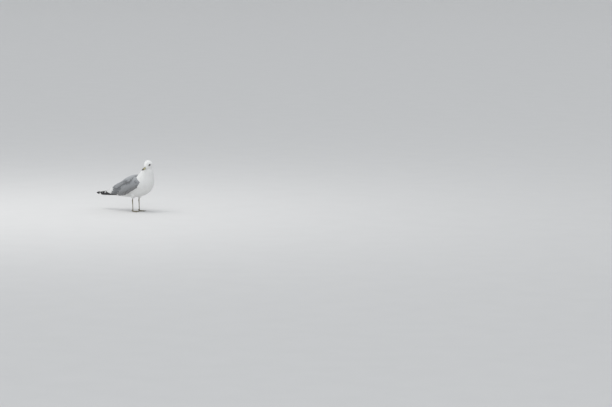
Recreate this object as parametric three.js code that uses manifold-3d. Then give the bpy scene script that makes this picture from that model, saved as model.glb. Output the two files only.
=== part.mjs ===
// A common gull standing at rest, its head turned over the right shoulder, as a still life-size model.
// Millimetres. +X is forward along the body, +Y is the bird's left, +Z is up, and the soles stand on Z = 0.
import * as THREE from "three";
import { mergeVertices } from "three/addons/utils/BufferGeometryUtils.js";
import Module from "manifold-3d";

const wasm = await Module();
wasm.setup();

// ---- driving dimensions ----
const GAP = 0.3; // between neighbouring pieces
const CLEARANCE = 0.6; // round a piece let into its neighbour
const LEG_SPACING = 48; // between the two shanks
const RIGHT_STEP = -2; // how far the right foot stands from the legs' line
const LEFT_STEP = 3; // and the left foot
const LEG_X = -1.5; // the shanks' line along the body
const BARE_TOP = 73; // where the bare shank comes out of the feathers
const ANKLE_Z = 58; // the heel joint: the tarsus below it is 52 long
const FOOT_TOP = 7; // where the shank meets the toes
const HEAD_AT = new THREE.Vector3(86, -8, 256); // midway between the eyes
const HEAD_TURN = -88; // degrees from straight ahead, towards the right shoulder
const HEAD_NOD = 13; // degrees down
const HEAD_TILT = 12; // degrees, crown towards the bird's right
const EYE_RADIUS = 5.3;
const EYE_SIDE = 14.6; // eye centre from the head's middle plane
const BILL_LENGTH = 34; // along the culmen
const LEFT_WING_LIFT = 2; // the left wing tip lies a little above the right one

const PLUMAGE_WHITE = new THREE.Color(0.86, 0.86, 0.85);
const MANTLE_GREY = new THREE.Color(0.4, 0.42, 0.45);
const PRIMARY_BLACK = new THREE.Color(0.03, 0.03, 0.035);
const BILL_OLIVE = new THREE.Color(0.5, 0.46, 0.24);
const EYE_BROWN = new THREE.Color(0.03, 0.02, 0.02);
const LEG_OLIVE = new THREE.Color(0.4, 0.37, 0.22);
const CLAW_BLACK = new THREE.Color(0.05, 0.045, 0.04);

// ---- helpers ----
const rad = THREE.MathUtils.degToRad;

// A smooth line through points given as [x, y, z]; the points are evenly spaced in its parameter.
function line(...points) {
  return new THREE.CatmullRomCurve3(
    points.map((p) => new THREE.Vector3(...p)),
    false,
    "catmullrom",
  );
}

// A mesh from a list of points and faces, turned so that its faces point out.
function closedMesh(points, faces) {
  let volume = 0;
  const normal = new THREE.Vector3();
  for (let i = 0; i < faces.length; i += 3) {
    const [a, b, c] = [points[faces[i]], points[faces[i + 1]], points[faces[i + 2]]];
    volume += a.dot(normal.crossVectors(b, c));
  }
  if (volume < 0) faces.reverse();
  const geometry = new THREE.BufferGeometry().setFromPoints(points);
  return geometry.setIndex(faces);
}

// Rings of points joined one to the next, with a fan over each end.
function loft(rings) {
  const around = rings[0].length;
  const points = rings.flat();
  const faces = [];
  for (let i = 0; i < rings.length - 1; i++) {
    for (let j = 0; j < around; j++) {
      const a = i * around + j;
      const b = i * around + ((j + 1) % around);
      faces.push(a, b, a + around, b, b + around, a + around);
    }
  }
  for (const [ring, turned] of [[0, true], [rings.length - 1, false]]) {
    const centre = new THREE.Vector3();
    rings[ring].forEach((p) => centre.addScaledVector(p, 1 / around));
    const tip = points.push(centre) - 1;
    for (let j = 0; j < around; j++) {
      const a = ring * around + j;
      const b = ring * around + ((j + 1) % around);
      faces.push(...(turned ? [tip, b, a] : [tip, a, b]));
    }
  }
  return closedMesh(points, faces);
}

// A plate between two faces, each a function of (along, across) from 0 to 1, closed along its rim.
function plate(outer, inner, alongSteps, acrossSteps) {
  const points = [];
  const faces = [];
  const wide = acrossSteps + 1;
  for (const face of [outer, inner]) {
    for (let i = 0; i <= alongSteps; i++) {
      for (let j = 0; j <= acrossSteps; j++) points.push(face(i / alongSteps, j / acrossSteps));
    }
  }
  const half = (alongSteps + 1) * wide;
  for (let i = 0; i < alongSteps; i++) {
    for (let j = 0; j < acrossSteps; j++) {
      const a = i * wide + j;
      faces.push(a, a + 1, a + wide, a + 1, a + wide + 1, a + wide);
      const b = a + half;
      faces.push(b, b + wide, b + 1, b + 1, b + wide, b + wide + 1);
    }
  }
  const rim = [];
  for (let j = 0; j < acrossSteps; j++) rim.push(j);
  for (let i = 0; i < alongSteps; i++) rim.push(i * wide + acrossSteps);
  for (let j = acrossSteps; j > 0; j--) rim.push(alongSteps * wide + j);
  for (let i = alongSteps; i > 0; i--) rim.push(i * wide);
  rim.forEach((a, k) => {
    const b = rim[(k + 1) % rim.length];
    faces.push(b, a, a + half, b, a + half, b + half);
  });
  return closedMesh(points, faces);
}

function welded(geometry) {
  const bare = geometry.clone();
  bare.deleteAttribute("normal");
  bare.deleteAttribute("uv");
  return mergeVertices(bare, 1e-3);
}

// A geometry as a manifold-3d solid, and back.
function solid(geometry) {
  const merged = welded(geometry);
  const vertProperties = new Float32Array(merged.attributes.position.array);
  const triVerts = new Uint32Array(merged.index.array);
  return new wasm.Manifold(new wasm.Mesh({ numProp: 3, vertProperties, triVerts }));
}

function geometryOf(made) {
  const mesh = made.getMesh();
  const geometry = new THREE.BufferGeometry();
  const position = new Float32Array(mesh.numVert * 3);
  for (let i = 0; i < mesh.numVert; i++) {
    const at = i * mesh.numProp;
    position.set(mesh.vertProperties.subarray(at, at + 3), i * 3);
  }
  geometry.setAttribute("position", new THREE.BufferAttribute(position, 3));
  geometry.setIndex(new THREE.BufferAttribute(new Uint32Array(mesh.triVerts), 1));
  return geometry;
}

// The bed that a piece needs in its neighbour: its own solid, grown by the clearance along its normals.
function bed(geometry) {
  const grown = welded(geometry);
  grown.computeVertexNormals();
  const { position, normal } = grown.attributes;
  for (let i = 0; i < position.array.length; i++) position.array[i] += CLEARANCE * normal.array[i];
  return solid(grown);
}

// The largest body of a solid that a cut has split.
function largest(made) {
  return made.decompose().sort((a, b) => b.volume() - a.volume())[0];
}

// The half of space on one side of a plane, as a large box whose near face lies on it.
function halfSpace(point, normal, gap) {
  const size = 1000;
  const box = new THREE.BoxGeometry(size, size, size).translate(0, 0, size / 2 + gap);
  const turn = new THREE.Quaternion().setFromUnitVectors(
    new THREE.Vector3(0, 0, 1),
    normal.clone().normalize(),
  );
  return solid(box.applyQuaternion(turn).translate(point.x, point.y, point.z));
}

// ---- trunk and neck: one loft between the back's, the flank's and the belly's lines ----
const BACK = line(
  [-166, 0, 110], [-120, 0, 137], [-66, 0, 172], [-22, 0, 190], [8, 0, 197],
  [28, 0, 205], [39, 0, 216], [48, 0, 228], [58, 0, 239], [70, 0, 248],
);
const FLANK = line(
  [-166, 12, 99], [-120, 31, 112], [-66, 47, 131], [-14, 58, 142], [26, 60, 147],
  [57, 57, 160], [74, 48, 186], [78, 37, 214], [82, 28, 232], [86, 20, 246],
);
const BELLY = line(
  [-166, 0, 79.5], [-118, 0, 76], [-62, 0, 75], [-4, 0, 77], [46, 0, 86],
  [90, 0, 112], [113, 0, 152], [115, 0, 190], [112, 0, 220], [103, 0, 240],
);

function bodyPoint(along, around) {
  const back = BACK.getPoint(along);
  const flank = FLANK.getPoint(along);
  const belly = BELLY.getPoint(along);
  const middle = new THREE.Vector3(flank.x, 0, flank.z);
  const [up, side] = [Math.cos(around), Math.sin(around)];
  const reach = (up > 0 ? back : belly).clone().sub(middle);
  return middle.addScaledVector(reach, Math.abs(up)).add(new THREE.Vector3(0, flank.y * side, 0));
}

const BODY_STEPS = 24;
const BODY_AROUND = 20;
const ring = (count, place) => Array.from({ length: count }, (_, j) => place((2 * Math.PI * j) / count));
const body = solid(
  loft(
    Array.from({ length: BODY_STEPS + 1 }, (_, i) =>
      ring(BODY_AROUND, (angle) => bodyPoint(i / BODY_STEPS, angle)),
    ),
  ),
);

// ---- head: a loft in its own frame, eyes level with the origin, X towards the bill ----
const headFrame = new THREE.Matrix4()
  .makeTranslation(HEAD_AT.x, HEAD_AT.y, HEAD_AT.z)
  .multiply(new THREE.Matrix4().makeRotationZ(rad(HEAD_TURN)))
  .multiply(new THREE.Matrix4().makeRotationY(rad(HEAD_NOD)))
  .multiply(new THREE.Matrix4().makeRotationX(rad(HEAD_TILT)));

const CROWN = line(
  [-36, 0, 2], [-33, 0, 11], [-23, 0, 20.5], [-8, 0, 25.5], [5, 0, 22.5], [14, 0, 14.5], [20, 0, 5.5], [24, 0, -2.5],
);
const CHEEK = line(
  [-36, 4, -2], [-32, 12, -3], [-21, 18.6, -3.5], [-6, 20, -4], [5, 17.8, -4], [13, 13.4, -5], [19, 8.6, -6.5], [24, 4.8, -8],
);
const THROAT = line(
  [-36, 0, -8], [-32, 0, -17], [-20, 0, -23], [-4, 0, -24], [6, 0, -21.5], [14, 0, -18.5], [20, 0, -15.4], [25, 0, -13.2],
);

function headPoint(along, around) {
  const cheek = CHEEK.getPoint(along);
  const middle = new THREE.Vector3(cheek.x, 0, cheek.z);
  const [up, side] = [Math.cos(around), Math.sin(around)];
  const reach = (up > 0 ? CROWN : THROAT).getPoint(along).sub(middle);
  return middle.addScaledVector(reach, Math.abs(up)).add(new THREE.Vector3(0, cheek.y * side, 0));
}

const HEAD_STEPS = 14;
const HEAD_AROUND = 16;
const skull = solid(
  loft(
    Array.from({ length: HEAD_STEPS + 1 }, (_, i) =>
      ring(HEAD_AROUND, (angle) => headPoint(i / HEAD_STEPS, angle)),
    ),
  ).applyMatrix4(headFrame),
);

function eyeball(side) {
  return new THREE.SphereGeometry(EYE_RADIUS, 12, 6).translate(0, side * EYE_SIDE, 0).applyMatrix4(headFrame);
}

// ---- bill: each half is a loft along the head's X, its section a rounded wedge ----
const CULMEN = line(
  [18, 0, -1.5], [27, 0, -2.8], [38, 0, -4.2], [48, 0, -6.3], [54, 0, -9.3], [56.5, 0, -13.8],
);
const TOMIUM = line(
  [18, 5, -8.6], [27, 4, -9], [38, 3, -9.8], [48, 2.3, -11], [54, 1.5, -12.6], [56.5, 0.5, -14.2],
);
const GONYS = line(
  [18, 0, -14.4], [27, 0, -14.6], [37, 0, -15.2], [43, 0, -15.4], [49, 0, -14.2], [53.4, 0, -12.9],
);
const LOWER_EDGE = line(
  [18, 4.8, -8.9], [27, 3.8, -9.3], [37, 2.9, -10.1], [43, 2.5, -10.8], [49, 1.7, -11.6], [53.4, 0.5, -12.5],
);

// An arch from one cutting edge over the ridge to the other, closed by a slightly hollow palate.
function billRing(ridge, edge, along) {
  const top = ridge.getPoint(along);
  const rim = edge.getPoint(along);
  const rise = top.z - rim.z;
  const points = [];
  const arch = 8;
  for (let j = 0; j <= arch; j++) {
    const angle = (Math.PI * j) / arch;
    const y = rim.y * Math.cos(angle);
    const z = rim.z + rise * Math.sin(angle) ** 0.8;
    points.push(new THREE.Vector3(top.x + (rim.x - top.x) * (1 - Math.sin(angle)), y, z));
  }
  points.push(rim.clone().setY(0));
  return points;
}

function billHalf(ridge, edge) {
  const steps = 11;
  const rings = Array.from({ length: steps + 1 }, (_, i) => billRing(ridge, edge, i / steps));
  return loft(rings).applyMatrix4(headFrame);
}

// ---- folded wing: a shell over the back and side, from the shoulder to the tertials' tips ----
const WING_TOP = line(
  [52, 30, 187], [28, 17, 197], [0, 9, 199], [-28, 6, 193], [-56, 5, 180],
  [-84, 4, 162], [-112, 3, 149], [-134, 2.5, 142], [-156, 2, 134],
);
const WING_SIDE = line(
  [76, 51, 166], [60, 60, 166], [36, 64, 163], [8, 65, 157], [-24, 62, 150],
  [-60, 52.5, 140], [-96, 41, 128], [-130, 31, 119], [-164, 22, 115],
);
const WING_EDGE = line(
  [64, 56, 145], [50, 60, 138], [30, 61, 129], [8, 61, 118], [-20, 56, 103],
  [-56, 46, 91], [-96, 36.5, 87], [-138, 28.5, 87], [-180, 19, 93],
);
const WING_THICK = [6, 3.5]; // at the shoulder and at the tertials' tips

function wingSurface(side, along, across) {
  const top = WING_TOP.getPoint(along);
  const wide = WING_SIDE.getPoint(along);
  const edge = WING_EDGE.getPoint(along);
  const shoulder = 0.6; // share of the way across at which the wing is widest
  let [from, to, turn] = [top, wide, 0];
  if (across < shoulder) {
    turn = (across / shoulder) * (Math.PI / 2);
    const point = new THREE.Vector3(
      from.x + (to.x - from.x) * (1 - Math.cos(turn)),
      from.y + (to.y - from.y) * Math.sin(turn),
      to.z + (from.z - to.z) * Math.cos(turn),
    );
    return point.multiply(new THREE.Vector3(1, side, 1));
  }
  turn = ((across - shoulder) / (1 - shoulder)) * (Math.PI / 2);
  return new THREE.Vector3(
    wide.x + (edge.x - wide.x) * Math.sin(turn),
    edge.y + (wide.y - edge.y) * Math.cos(turn),
    wide.z + (edge.z - wide.z) * Math.sin(turn),
  ).multiply(new THREE.Vector3(1, side, 1));
}

// The shell's inner face lies under the outer one, square to it.
function wingInner(side, along, across) {
  const [i, j] = [THREE.MathUtils.clamp(along, 0.12, 0.98), THREE.MathUtils.clamp(across, 0.02, 0.98)];
  const outer = wingSurface(side, along, across);
  const here = wingSurface(side, i, j);
  const backward = wingSurface(side, i + 0.02, j).sub(here);
  const down = wingSurface(side, i, j + 0.02).sub(here);
  const inward = backward.cross(down).multiplyScalar(side);
  return outer.add(inward.setLength(THREE.MathUtils.lerp(...WING_THICK, along)));
}

function wingShell(side) {
  return plate((i, j) => wingSurface(side, i, j), (i, j) => wingInner(side, i, j), 14, 8);
}

const primaryLine = {
  upper: line([-92, 30, 112], [-130, 25, 108], [-165, 19, 110], [-200, 12, 104], [-240, 8, 96], [-280, 4, 88]),
  lower: line([-92, 41, 88], [-130, 34, 84], [-165, 26, 81], [-200, 18, 79], [-240, 11, 79.5], [-280, 5.5, 84]),
};

function primaries(side) {
  const lift = side > 0 ? LEFT_WING_LIFT : 0;
  const face = (outward) => (i, j) => {
    const point = primaryLine.upper.getPoint(i).lerp(primaryLine.lower.getPoint(i), j);
    const thick = (0.8 + 1.7 * (1 - i)) * Math.sin(Math.PI * (0.12 + 0.76 * j));
    const raised = lift * THREE.MathUtils.smoothstep(i, 0.2, 1);
    return point.add(new THREE.Vector3(0, outward * thick, raised)).multiply(new THREE.Vector3(1, side, 1));
  };
  return plate(face(1), face(-1), 14, 4);
}

// ---- tail: a flat fan of closed feathers, a shallow roof across ----
const TAIL_ROOT = -112;
const TAIL_TIP = -241;
function tail() {
  const face = (up) => (i, j) => {
    const across = 2 * j - 1;
    const x = THREE.MathUtils.lerp(TAIL_ROOT, TAIL_TIP + 5 * across ** 2, i);
    const y = across * THREE.MathUtils.lerp(15, 25, i);
    const z = THREE.MathUtils.lerp(86.5, 76, i) - 3 * across ** 2;
    const thick = THREE.MathUtils.lerp(3.4, 0.9, i) * Math.sqrt(1.04 - across ** 2);
    return new THREE.Vector3(x, y, z + up * thick);
  };
  return plate(face(1), face(-1), 8, 6);
}

// ---- legs ----
// A tube of round rings given as [x, y, z, radius], in the order of the list.
function tube(stations, around) {
  return loft(
    stations.map(([x, y, z, r]) =>
      ring(around, (a) => new THREE.Vector3(x + r * Math.cos(a), y + r * Math.sin(a), z)),
    ),
  );
}

const legY = (side) => (side * LEG_SPACING) / 2;
const legX = (side) => LEG_X + (side > 0 ? LEFT_STEP : RIGHT_STEP);

function thigh(side) {
  const [x, y] = [legX(side), legY(side)];
  const stations = [
    [x + 8, y, 104, 15], [x + 6, y, 92, 13.5], [x + 3, y, 84, 10], [x + 0.5, y, 77, 6.2],
    [x - 0.5, y, BARE_TOP + GAP, 4],
  ];
  return tube(stations, 14);
}

function shank(side) {
  const [x, y] = [legX(side), legY(side)];
  const stations = [
    [x - 0.8, y, BARE_TOP, 2.5], [x - 1.8, y, ANKLE_Z + 6, 2.5], [x - 2.4, y, ANKLE_Z + 3, 3.2],
    [x - 2.4, y, ANKLE_Z - 1, 3.4], [x - 1.8, y, ANKLE_Z - 5, 2.7], [x - 0.8, y, 34, 2.1],
    [x - 0.2, y, 14, 2.2], [x, y, FOOT_TOP + GAP, 2.9],
  ];
  return tube(stations, 10);
}

// ---- feet: three long toes with webs between, a small hind toe, and a claw on each ----
const TOES = { inner: [28, 30], middle: [36, 0], outer: [35, -27] }; // length and spread in degrees
const CLAW_LENGTH = 6;
const FOOT_TURN = { right: 10, left: -2 }; // degrees, towards the bird's left
const WEB_THICK = 1.5;

// The foot's own frame: origin under the shank, X along the middle toe.
function footFrame(side) {
  const turn = side > 0 ? FOOT_TURN.left : FOOT_TURN.right;
  return new THREE.Matrix4()
    .makeTranslation(legX(side), legY(side), 0)
    .multiply(new THREE.Matrix4().makeRotationZ(rad(turn)));
}

const toeAngle = (side, spread) => rad(-side * spread);

// A toe: knuckles make it swell and narrow along its length, and its sole is pressed flat.
function toe(length, angle) {
  const steps = 8;
  const rings = Array.from({ length: steps + 1 }, (_, i) => {
    const reach = i / steps;
    const swell = 1 + 0.13 * Math.cos(reach * 6 * Math.PI);
    const radius = THREE.MathUtils.lerp(2.5, 1.5, reach) * swell;
    const height = THREE.MathUtils.lerp(2.6, 1.35, reach ** 0.6);
    return ring(7, (a) =>
      new THREE.Vector3(reach * length, radius * Math.cos(a), Math.max(0, height + radius * Math.sin(a))),
    );
  });
  return solid(loft(rings).rotateZ(angle));
}

// A web between two toes: a thin sheet whose front edge curves back towards the foot.
function web(first, second) {
  const [lengthA, angleA] = first;
  const [lengthB, angleB] = second;
  const at = (length, angle) => new THREE.Vector2(length * Math.cos(angle), length * Math.sin(angle));
  const shape = new THREE.Shape();
  const [a, b] = [at(lengthA - 1, angleA), at(lengthB - 1, angleB)];
  const hollow = at(0.83 * Math.min(lengthA, lengthB), (angleA + angleB) / 2);
  shape.moveTo(0, 0);
  shape.lineTo(a.x, a.y);
  shape.quadraticCurveTo(hollow.x, hollow.y, b.x, b.y);
  shape.lineTo(0, 0);
  return solid(new THREE.ExtrudeGeometry(shape, { depth: WEB_THICK, bevelEnabled: false, curveSegments: 6 }));
}

function hindToe() {
  const stations = [[-4.5, 0, 8.8, 1.6], [-6.6, 0, 7.6, 1.4], [-8.6, 0, 6.2, 1]];
  return loft(
    stations.map(([x, y, z, r]) =>
      ring(8, (a) => new THREE.Vector3(x - 0.5 * r * Math.sin(a), y + r * Math.cos(a), z + r * Math.sin(a))),
    ),
  );
}

function foot(side) {
  const toes = Object.values(TOES).map(([length, spread]) => [length, toeAngle(side, spread)]);
  const ball = solid(
    tube([[0, 0, 0, 4.2], [0, 0, 2.5, 4.4], [0, 0, 5, 3.6], [0, 0, FOOT_TOP, 2.9]], 12),
  );
  const pieces = toes.map(([length, angle]) => toe(length, angle));
  pieces.push(web(toes[0], toes[1]), web(toes[1], toes[2]));
  return pieces.reduce((all, piece) => all.add(piece), ball);
}

// A claw: a short curved cone, its root against the toe's end and its point clear of the floor.
function clawGeometry(length, radius) {
  const steps = 4;
  const rings = Array.from({ length: steps + 1 }, (_, i) => {
    const reach = i / steps;
    const r = radius * (1 - 0.85 * reach);
    const drop = -0.1 * radius * reach ** 2;
    return ring(6, (a) => new THREE.Vector3(length * reach, r * Math.cos(a), drop + r * Math.sin(a)));
  });
  return loft(rings);
}

// ---- cuts that part one piece from the next ----
const neckBase = { point: new THREE.Vector3(75, 0, 188), normal: new THREE.Vector3(0.5, 0, 0.86) };
const headBase = { point: new THREE.Vector3(77, 0, 239), normal: new THREE.Vector3(0, -0.2, 1) };
const tertialBase = { point: new THREE.Vector3(-92, 0, 140), normal: new THREE.Vector3(-1, 0, 0.25) };
const flipped = (plane) => ({ point: plane.point, normal: plane.normal.clone().negate() });
const keep = (made, plane) => made.intersect(halfSpace(plane.point, plane.normal, GAP / 2));

const sides = { right: -1, left: 1 };
const bothSides = Object.values(sides);
const without = (made, pieces) => pieces.reduce((left, piece) => left.subtract(piece), made);

const bill = { upper: billHalf(CULMEN, TOMIUM), lower: billHalf(GONYS, LOWER_EDGE) };
const billBeds = Object.values(bill).map(bed);
const eyeBeds = bothSides.map((side) => bed(eyeball(side)));
const wingBeds = bothSides.flatMap((side) => [
  bed(wingShell(side)),
  solid(wingShell(side).translate(GAP, 0, 0)),
  solid(wingShell(side)),
]);
const thighBeds = bothSides.map((side) => bed(thigh(side)));
const primaryBeds = bothSides.map((side) => bed(primaries(side)));
const tailBed = bed(tail());

const flesh = body.add(skull);
const belowHead = keep(flesh, flipped(headBase));
const headSolid = without(keep(flesh, headBase), [...billBeds, ...eyeBeds]);
const neckSolid = without(keep(belowHead, neckBase), [...wingBeds, ...billBeds]);
const trunkBeds = [...wingBeds, ...thighBeds, ...primaryBeds, tailBed];
const trunkSolid = without(keep(belowHead, flipped(neckBase)), trunkBeds);

// ---- the gull ----
const gull = new THREE.Group();

function addNode(name, geometry, color, roughness = 0.75, parent = gull) {
  const material = new THREE.MeshStandardMaterial({ color, roughness, metalness: 0 });
  const mesh = new THREE.Mesh(geometry, material);
  mesh.name = name;
  parent.add(mesh);
  return mesh;
}

addNode("head", geometryOf(largest(headSolid)), PLUMAGE_WHITE);
addNode("neck", geometryOf(largest(neckSolid)), PLUMAGE_WHITE);
addNode("trunk", geometryOf(largest(trunkSolid)), PLUMAGE_WHITE);
addNode("tail", tail(), PLUMAGE_WHITE);
addNode("bill_upper", bill.upper, BILL_OLIVE, 0.4);
addNode("bill_lower", bill.lower, BILL_OLIVE, 0.4);

for (const [name, side] of Object.entries(sides)) {
  const shell = without(solid(wingShell(side)), [bed(primaries(side)), tailBed]);
  const quills = without(solid(primaries(side)), [tailBed]);
  addNode(`wing_${name}_arm`, geometryOf(largest(keep(shell, flipped(tertialBase)))), MANTLE_GREY);
  addNode(`wing_${name}_tertials`, geometryOf(largest(keep(shell, tertialBase))), MANTLE_GREY);
  addNode(`wing_${name}_primaries`, geometryOf(largest(quills)), PRIMARY_BLACK);
  addNode(`eye_${name}`, eyeball(side), EYE_BROWN, 0.1);
  addNode(`leg_${name}_thigh`, thigh(side), PLUMAGE_WHITE);
  addNode(`leg_${name}_shank`, shank(side), LEG_OLIVE, 0.5);

  const standing = new THREE.Group();
  standing.applyMatrix4(footFrame(side));
  gull.add(standing);
  addNode(`foot_${name}`, geometryOf(foot(side)), LEG_OLIVE, 0.5, standing);
  addNode(`hind_toe_${name}`, hindToe(), LEG_OLIVE, 0.5, standing);
  for (const [toeName, [length, spread]] of Object.entries(TOES)) {
    const claw = addNode(`claw_${name}_${toeName}`, clawGeometry(CLAW_LENGTH, 1.15), CLAW_BLACK, 0.35, standing);
    claw.rotation.z = toeAngle(side, spread);
    claw.position.set(length + GAP, 0, 1.6).applyEuler(new THREE.Euler(0, 0, claw.rotation.z)).setZ(1.6);
  }
}

// The origin is on the floor, under the middle of the bird's bounding box.
const bounds = new THREE.Box3().setFromObject(gull);
const centre = bounds.getCenter(new THREE.Vector3());
gull.position.set(-centre.x, -centre.y, 0);

export default gull;
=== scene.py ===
# A common gull standing at rest, its head turned over its right shoulder: the coat, bill, eyes and legs.
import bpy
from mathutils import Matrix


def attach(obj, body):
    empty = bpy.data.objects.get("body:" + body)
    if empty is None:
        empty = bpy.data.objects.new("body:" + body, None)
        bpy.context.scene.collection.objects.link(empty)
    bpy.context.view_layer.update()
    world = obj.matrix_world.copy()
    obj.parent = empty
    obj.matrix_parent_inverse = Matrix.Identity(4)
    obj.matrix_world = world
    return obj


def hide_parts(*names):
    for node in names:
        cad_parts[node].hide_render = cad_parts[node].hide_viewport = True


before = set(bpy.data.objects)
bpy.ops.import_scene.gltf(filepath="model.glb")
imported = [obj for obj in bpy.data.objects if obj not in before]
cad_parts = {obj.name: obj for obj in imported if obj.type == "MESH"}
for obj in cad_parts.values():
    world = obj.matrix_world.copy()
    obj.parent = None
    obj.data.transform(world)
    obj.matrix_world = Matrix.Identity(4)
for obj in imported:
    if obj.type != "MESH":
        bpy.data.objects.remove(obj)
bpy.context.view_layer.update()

import math
import bpy
import numpy as np
from mathutils import Matrix, Vector
from mathutils.bvhtree import BVHTree

# ---- Skin ----
# The bare form of head, neck, trunk, thighs and folded forearms, shaved of its feathers.
# Soft skin over flesh, all of one piece: the lofts are run together, evened out and smoothed.
# Lengths are in millimetres from a point on the floor between the feet: X forward, Y to the bird's left.
FROM_FEET_TO_ORIGIN = np.array([82.24609375, 0.0, 0.0])
BACK = [(-166, 0, 110), (-120, 0, 137), (-66, 0, 172), (-22, 0, 190), (8, 0, 197),
        (28, 0, 205), (39, 0, 216), (48, 0, 228), (58, 0, 239), (70, 0, 248)]
FLANK = [(-166, 12, 99), (-120, 31, 112), (-66, 47, 131), (-14, 58, 142), (26, 60, 147),
         (57, 57, 160), (74, 48, 186), (78, 37, 214), (82, 28, 232), (86, 20, 246)]
BELLY = [(-166, 0, 79.5), (-118, 0, 76), (-62, 0, 75), (-4, 0, 77), (46, 0, 86),
         (90, 0, 112), (113, 0, 152), (115, 0, 190), (112, 0, 220), (103, 0, 240)]
CROWN = [(-36, 0, 2), (-33, 0, 11), (-23, 0, 20.5), (-8, 0, 25.5),
         (5, 0, 22.5), (14, 0, 14.5), (20, 0, 5.5), (24, 0, -2.5)]
CHEEK = [(-36, 4, -2), (-32, 12, -3), (-21, 18.6, -3.5), (-6, 20, -4),
         (5, 17.8, -4), (13, 13.4, -5), (19, 8.6, -6.5), (24, 4.8, -8)]
THROAT = [(-36, 0, -8), (-32, 0, -17), (-20, 0, -23), (-4, 0, -24),
          (6, 0, -21.5), (14, 0, -18.5), (20, 0, -15.4), (25, 0, -13.2)]
WING_TOP = [(52, 30, 187), (28, 17, 197), (0, 9, 199), (-28, 6, 193), (-56, 5, 180),
            (-84, 4, 162), (-112, 3, 149), (-134, 2.5, 142), (-156, 2, 134)]
WING_SIDE = [(76, 51, 166), (60, 60, 166), (36, 64, 163), (8, 65, 157), (-24, 62, 150),
             (-60, 52.5, 140), (-96, 41, 128), (-130, 31, 119), (-164, 22, 115)]
WING_EDGE = [(64, 56, 145), (50, 60, 138), (30, 61, 129), (8, 61, 118), (-20, 56, 103),
             (-56, 46, 91), (-96, 36.5, 87), (-138, 28.5, 87), (-180, 19, 93)]
WING_WIDEST = 0.6
HEAD_AT = np.array([86.0, -8.0, 256.0])
HEAD_TURN, HEAD_NOD, HEAD_TILT = -88, 13, 12
LEG_X = {-1: -3.5, 1: 1.5}
LEG_Y = 24
THIGH = [(8, 104, 15), (6, 92, 13.5), (3, 84, 10), (0.5, 77, 6.2), (-0.5, 73.3, 4)]
COAT_DEPTH = {"body": 2.2, "head": 1.2, "thigh": 1.6, "wing": 2.2}
WHITE = np.array([0.80, 0.80, 0.79])
MANTLE = np.array([0.250, 0.259, 0.270])
SIDES = {"right": -1, "left": 1}
FULL_TURN = 2 * math.pi


def smooth_line(stations, along):
    """A Catmull-Rom curve: between stations, the cubic leaving each along the chord of its neighbours."""
    p = np.array(stations, float)
    last = len(p) - 2
    p = np.vstack([2 * p[0] - p[1], p, 2 * p[-1] - p[-2]])
    t = np.asarray(along, float) * (last + 1)
    k = np.clip(np.floor(t).astype(int), 0, last)
    f = (t - k)[..., None]
    a, b, c, d = p[k], p[k + 1], p[k + 2], p[k + 3]
    return 0.5 * (2 * b + (c - a) * f + (2 * a - 5 * b + 4 * c - d) * f**2 + (3 * b - a - 3 * c + d) * f**3)


def loft_point(top, side, bottom, along, around):
    """Rings of four quarter ellipses through the top, side and bottom lines: cosine up, sine sideways."""
    along, around = np.broadcast_arrays(np.asarray(along, float), np.asarray(around, float))
    high, wide, low = (smooth_line(each, along) for each in (top, side, bottom))
    middle = wide * (1, 0, 1)
    up = np.cos(around)[..., None]
    reach = np.where(up > 0, high, low) - middle
    return middle + reach * np.abs(up) + np.sin(around)[..., None] * wide * (0, 1, 0)


def turned(axis, degrees):
    return np.array(Matrix.Rotation(math.radians(degrees), 3, axis))


HEAD_FRAME = turned("Z", HEAD_TURN) @ turned("Y", HEAD_NOD) @ turned("X", HEAD_TILT)


def from_head(points):
    return np.asarray(points) @ HEAD_FRAME.T + HEAD_AT


def body_point(along, around):
    return loft_point(BACK, FLANK, BELLY, along, around)


def head_point(along, around):
    return from_head(loft_point(CROWN, CHEEK, THROAT, along, around))


def thigh_point(side, down, around):
    """A cone of round rings: each ring's centre and radius follow the thigh's stations."""
    down, around = np.broadcast_arrays(down, around)
    x, z, radius = np.moveaxis(smooth_line(THIGH, down), -1, 0)
    x, y = LEG_X[side] + x + radius * np.cos(around), side * LEG_Y + radius * np.sin(around)
    return np.stack([x, y, z], -1)


def wing_point(side, along, across):
    """Quarter ellipses from the wing's top line out to its widest line, and from there in to its edge."""
    along, across = np.broadcast_arrays(np.asarray(along, float), np.asarray(across, float))
    top, wide, edge = (smooth_line(each, along) for each in (WING_TOP, WING_SIDE, WING_EDGE))
    out = np.clip(across / WING_WIDEST, 0, 1)[..., None] * math.pi / 2
    down = np.clip((across - WING_WIDEST) / (1 - WING_WIDEST), 0, 1)[..., None] * math.pi / 2
    upper = top + (wide - top) * np.concatenate([1 - np.cos(out), np.sin(out), 1 - np.cos(out)], -1)
    lower = wide + (edge - wide) * np.concatenate([np.sin(down), 1 - np.cos(down), np.sin(down)], -1)
    return np.where(across[..., None] < WING_WIDEST, upper, lower) * (1, side, 1)


def unit(vectors):
    return vectors / np.maximum(np.linalg.norm(vectors, axis=-1, keepdims=True), 1e-9)


def slopes(surface, u, v, step=0.004):
    """How fast a surface runs along each of its two parameters, by central differences."""
    u, v = np.broadcast_arrays(np.asarray(u, float), np.asarray(v, float))
    low, high = np.clip(u - step, 0, 1), np.clip(u + step, 0, 1)
    along = (surface(high, v) - surface(low, v)) / (high - low)[..., None]
    across = (surface(u, v + step) - surface(u, v - step)) / (2 * step)
    return along, across


def sunk(surface, u, v, depth, facing=1):
    """The surface moved inward, square to itself, by a depth."""
    along, across = slopes(surface, u, v)
    return surface(u, v) - facing * depth * unit(np.cross(along, across))


def ring_grid(first, last, rows, columns):
    """Parameters of a closed tube: rows along it and columns round it."""
    around = np.linspace(0, FULL_TURN, columns, endpoint=False)
    return np.meshgrid(np.linspace(first, last, rows), around, indexing="ij")


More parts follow.
